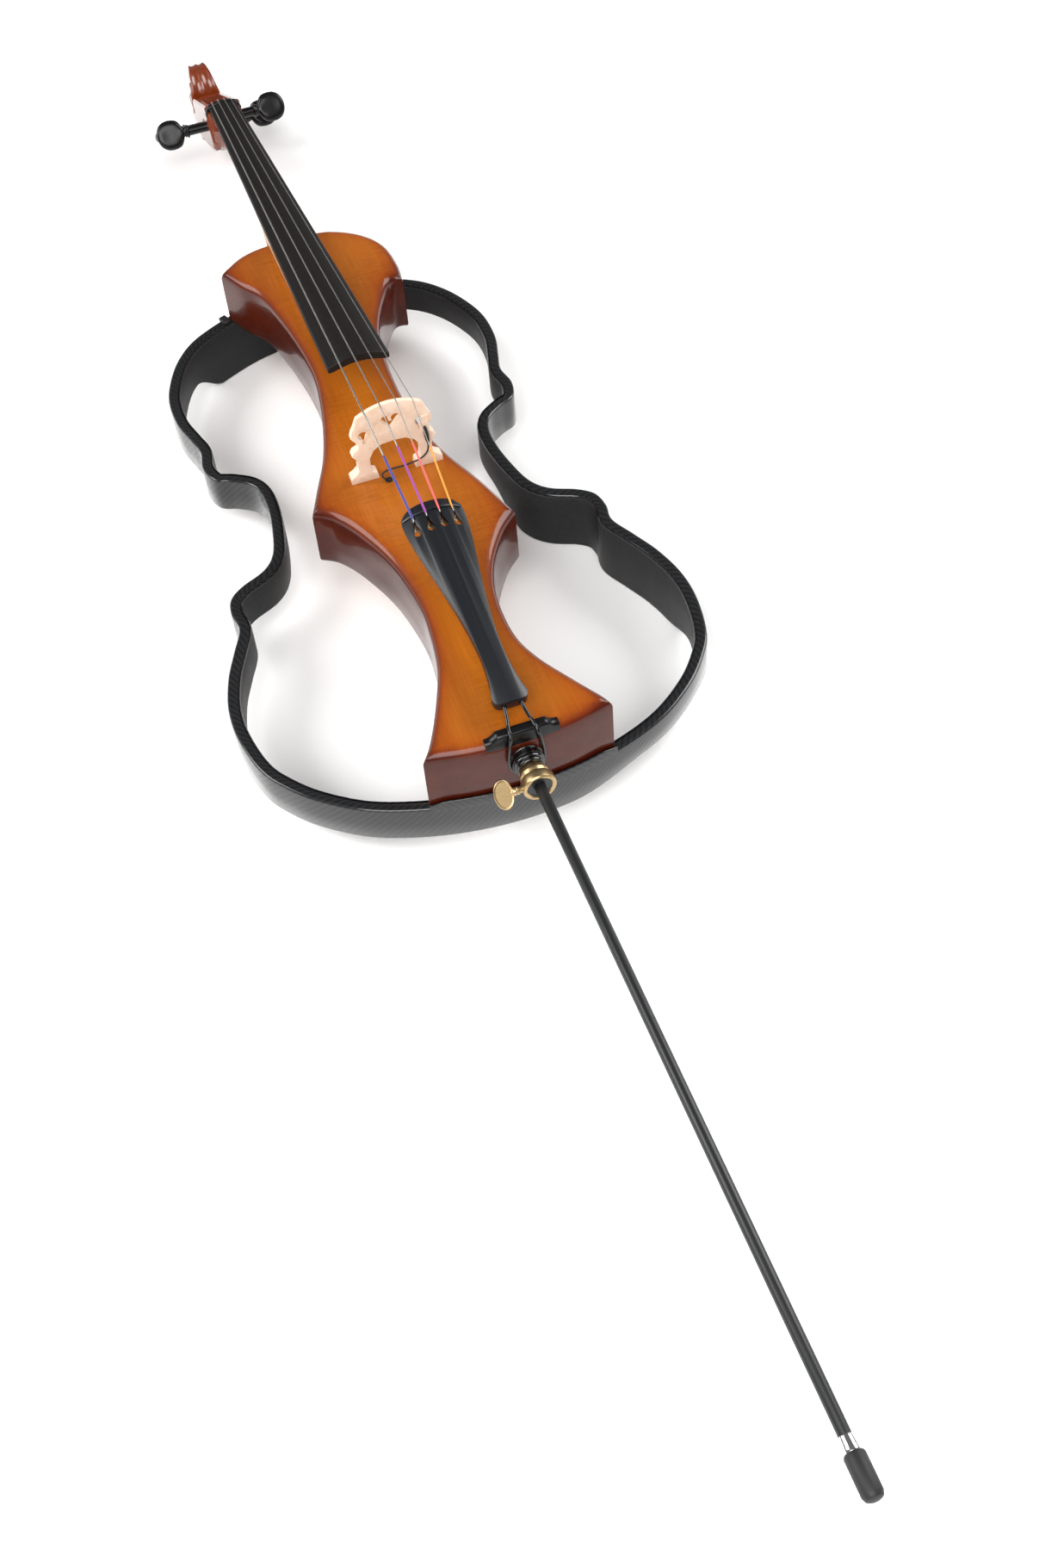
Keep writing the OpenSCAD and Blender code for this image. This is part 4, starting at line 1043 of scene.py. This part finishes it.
SILK_FROM = (0.43, 0.41, 0.41, 0.46)
for i, letter in enumerate(STRINGS):
    r = STRING_R[i]
    x = spread(i, BRIDGE_SPREAD)
    at_bridge = np.array([x, -3, STRING_HEIGHT + 0.6 - 9 * x * x / 961 + r - 0.3])
    x = spread(i, NUT_SPREAD)
    at_nut = np.array([x, NUT_Y + 2, BOARD_LOW_NUT + 9.7 - x * x / 84 + r - 0.3])
    back_of_nut = at_nut + np.array([0, 4.6, -0.3])
    at_peg = np.array(head(WIND_X[i], PEG_S[i] - 2, -PEG_DEPTH[i] + 7.2 + r + 0.4))
    x = spread(i, TAIL_SPREAD)
    dome = math.sqrt(46 * 46 - x * x) - 46
    at_fret = leaned(x, -8.5, dome + 1.2 + r - 0.3)
    at_lip = leaned(x, -14.8, dome + r)
    at_slot = leaned(x, -18, -13.4)
    path = [at_peg, back_of_nut, at_nut, at_nut * 0.98 + at_bridge * 0.02,
        at_nut * 0.02 + at_bridge * 0.98, at_bridge, at_bridge * 0.96 + at_fret * 0.04,
        at_bridge * 0.04 + at_fret * 0.96, at_fret, at_lip, at_slot]
    make_skin("string_" + letter + "_wound", tube_rings(path, r), wound_steel, "root", "string_steel",
        ["string_" + letter])
    past = leaned(x, -12.5, dome + 0.9 + r)
    a, b = at_bridge * (1 - SILK_FROM[i]) + at_fret * SILK_FROM[i], at_fret
    run = [a, a * 0.98 + b * 0.02, (a + b) / 2, b + np.array([0, 0.4, 0.1]), past]
    make_skin("silk_" + letter + "_wrap", tube_rings(run,
        [r + 0.15, r + 0.45, r + 0.45, r + 0.45, r + 0.25]), silk_finishes[letter], "root",
        {"c": "silk_blue", "g": "silk_purple", "d": "silk_coral", "a": "silk_amber"}[letter],
        ["silk_" + letter])
print("strings", [2 * r for r in STRING_R], "mm thick")

# %% [markdown]
# Saddle and tail cord
#
# A glossy black saddle on the edge of the body keeps the tail cord off the wood. Its ends are
# scooped down to the surface. The cord leaves two holes in the tailpiece, bends over the saddle and
# loops round the collar of the endpin.

# %% Saddle
sections = []
for x in [-33, -32, -30, -28, -26, -24, -22, -20, -16, -8, 0, 8, 16, 20, 22, 24, 26, 28, 30, 32, 33]:
    up = float(np.interp(abs(x), [0, 20, 22, 24, 26, 28, 30, 32, 33],
        [8.5, 8.5, 8.2, 6.5, 4.6, 3.4, 2.8, 2.6, 2.4]))
    back, front = -349.4, -359.3 + abs(x) ** 2 * 0.0016
    sections.append([(x, back, -9.5), (x, back, up - 1.4), (x, back - 0.5, up - 0.5),
        (x, back - 1.6, up), (x, -354.5, up), (x, front + 2.2, up - 0.5), (x, front + 0.7, up - 1.6),
        (x, front, up - 3.4), (x, front, -9.5)])
piece = make_skin("saddle_ebony", sections, ebony, "root", "ebony", ["saddle"], sharp=40)
face_outwards(piece)

# %% Tail cord
def strand(s):
    return [(7.5 * s, -324, 18.6), (7.5 * s, -334.5, 16.8), (9 * s, -345, 13), (10.2 * s, -350, 11),
        (11 * s, -355, 10.3), (11.6 * s, -359.5, 9.4), (12.4 * s, -362.8, 6), (13.4 * s, -364.2, 0),
        (14.8 * s, -364.2, -10), (15.6 * s, -364.2, -18)]

loop_turn = [(15.6 * math.cos(math.radians(a)), -364.2, AXIS_Z + 15.6 * math.sin(math.radians(a)))
    for a in range(180, 361, 15)]
cord_path = smooth_path(strand(-1) + loop_turn + strand(1)[::-1], 3)
make_skin("tail_cord_nylon", tube_rings(cord_path, 1.6), nylon, "root", "tail_cord", ["tail_cord"])
print("cord has", len(cord_path), "rings")

# %% [markdown]
# The pickup
#
# A thin slip in the treble wing of the bridge senses the vibration. It ends in a shrink sleeve, and
# a fine cable curls under the arch and dives through a hole in the top.

# %% Sleeve and cable
sleeve = [(30.2, -8.6, 49), (30.4, -8.8, 47), (30.8, -9, 42), (31.2, -9.2, 37), (31.5, -9.3, 32),
    (31.4, -9.3, 29.5)]
make_skin("pickup_shrink_sleeve", tube_rings(sleeve, [1.1, 1.9, 2.3, 2.3, 1.9, 1.1]), rubber, "root",
    "cable_black", ["pickup_sleeve"])
cable = [(31.4, -9.3, 30), (31.2, -9.5, 24), (28.5, -10, 18), (22, -10, 13.5), (13, -9.5, 11),
    (2, -9, 9.8), (-8, -8.5, 9.5), (-14, -9, 8.5), (-16.5, -10.5, 6.5), (-15, -12, 3.5),
    (-12, -12, 1.5), (-11, -12, -2), (-11, -12, -8)]
make_skin("pickup_fine_cable", tube_rings(smooth_path(cable, 4), 0.8, 10), rubber, "root",
    "cable_black", ["pickup_cable"])
print("pickup wired")

# %% [markdown]
# Floor and lights
#
# The floor is a plain pale sheet, and isn't part of the cello. The world is a dim, even
# white. Three big area lights make the floor bright and add the soft highlights on the lacquer.

# %% Studio
floor_mesh = bpy.data.meshes.new("studio_floor")
floor_mesh.from_pydata([(-9, -7, 0), (9, -7, 0), (9, 11, 0), (-9, 11, 0)], [], [(0, 1, 2, 3)])
paper, tree, shader, mm = start_finish("matte_paper", Roughness=0.9, Specular_IOR_Level=0.1)
fibre = add(tree, "TexNoise", Vector=mm, Scale=1 / 40, Detail=2.0)
tree.links.new(ramp(tree, fibre, (0.3, "#fbfbfa"), (0.7, "#fcfcfb")), shader.inputs["Base Color"])
floor_mesh.materials.append(paper)
floor = show("studio_floor", floor_mesh)
floor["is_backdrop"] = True

world = bpy.data.worlds.new("light_tent")
bpy.context.scene.world = world
world.use_nodes = True
world.node_tree.nodes["Background"].inputs["Color"].default_value = (1, 1, 1, 1)
world.node_tree.nodes["Background"].inputs["Strength"].default_value = 0.2
for name, at, size, power, aim in (("softbox_behind_camera", (-1.2, -2.8, 3.4), 3.2, 215, (0, 0.2, 0)),
        ("softbox_left", (-3.2, 1.0, 2.6), 2.4, 125, (0, 0.1, 0)),
        ("softbox_right", (3.2, 0.4, 2.4), 2.4, 125, (0, 0.1, 0))):
    lamp = bpy.data.lights.new(name, "AREA")
    lamp.shape, lamp.size, lamp.energy = "SQUARE", size, power
    box = show(name, lamp)
    box.location = at
    box.rotation_euler = (Vector(aim) - Vector(at)).to_track_quat("-Z", "Y").to_euler()
print("three softboxes and a dim light tent")

# %% [markdown]
#
# We print the box of everything shown, in metres.

# %% Print the box of everything shown
low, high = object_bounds()
print("visual box in metres:", [round(v, 4) for v in high - low])
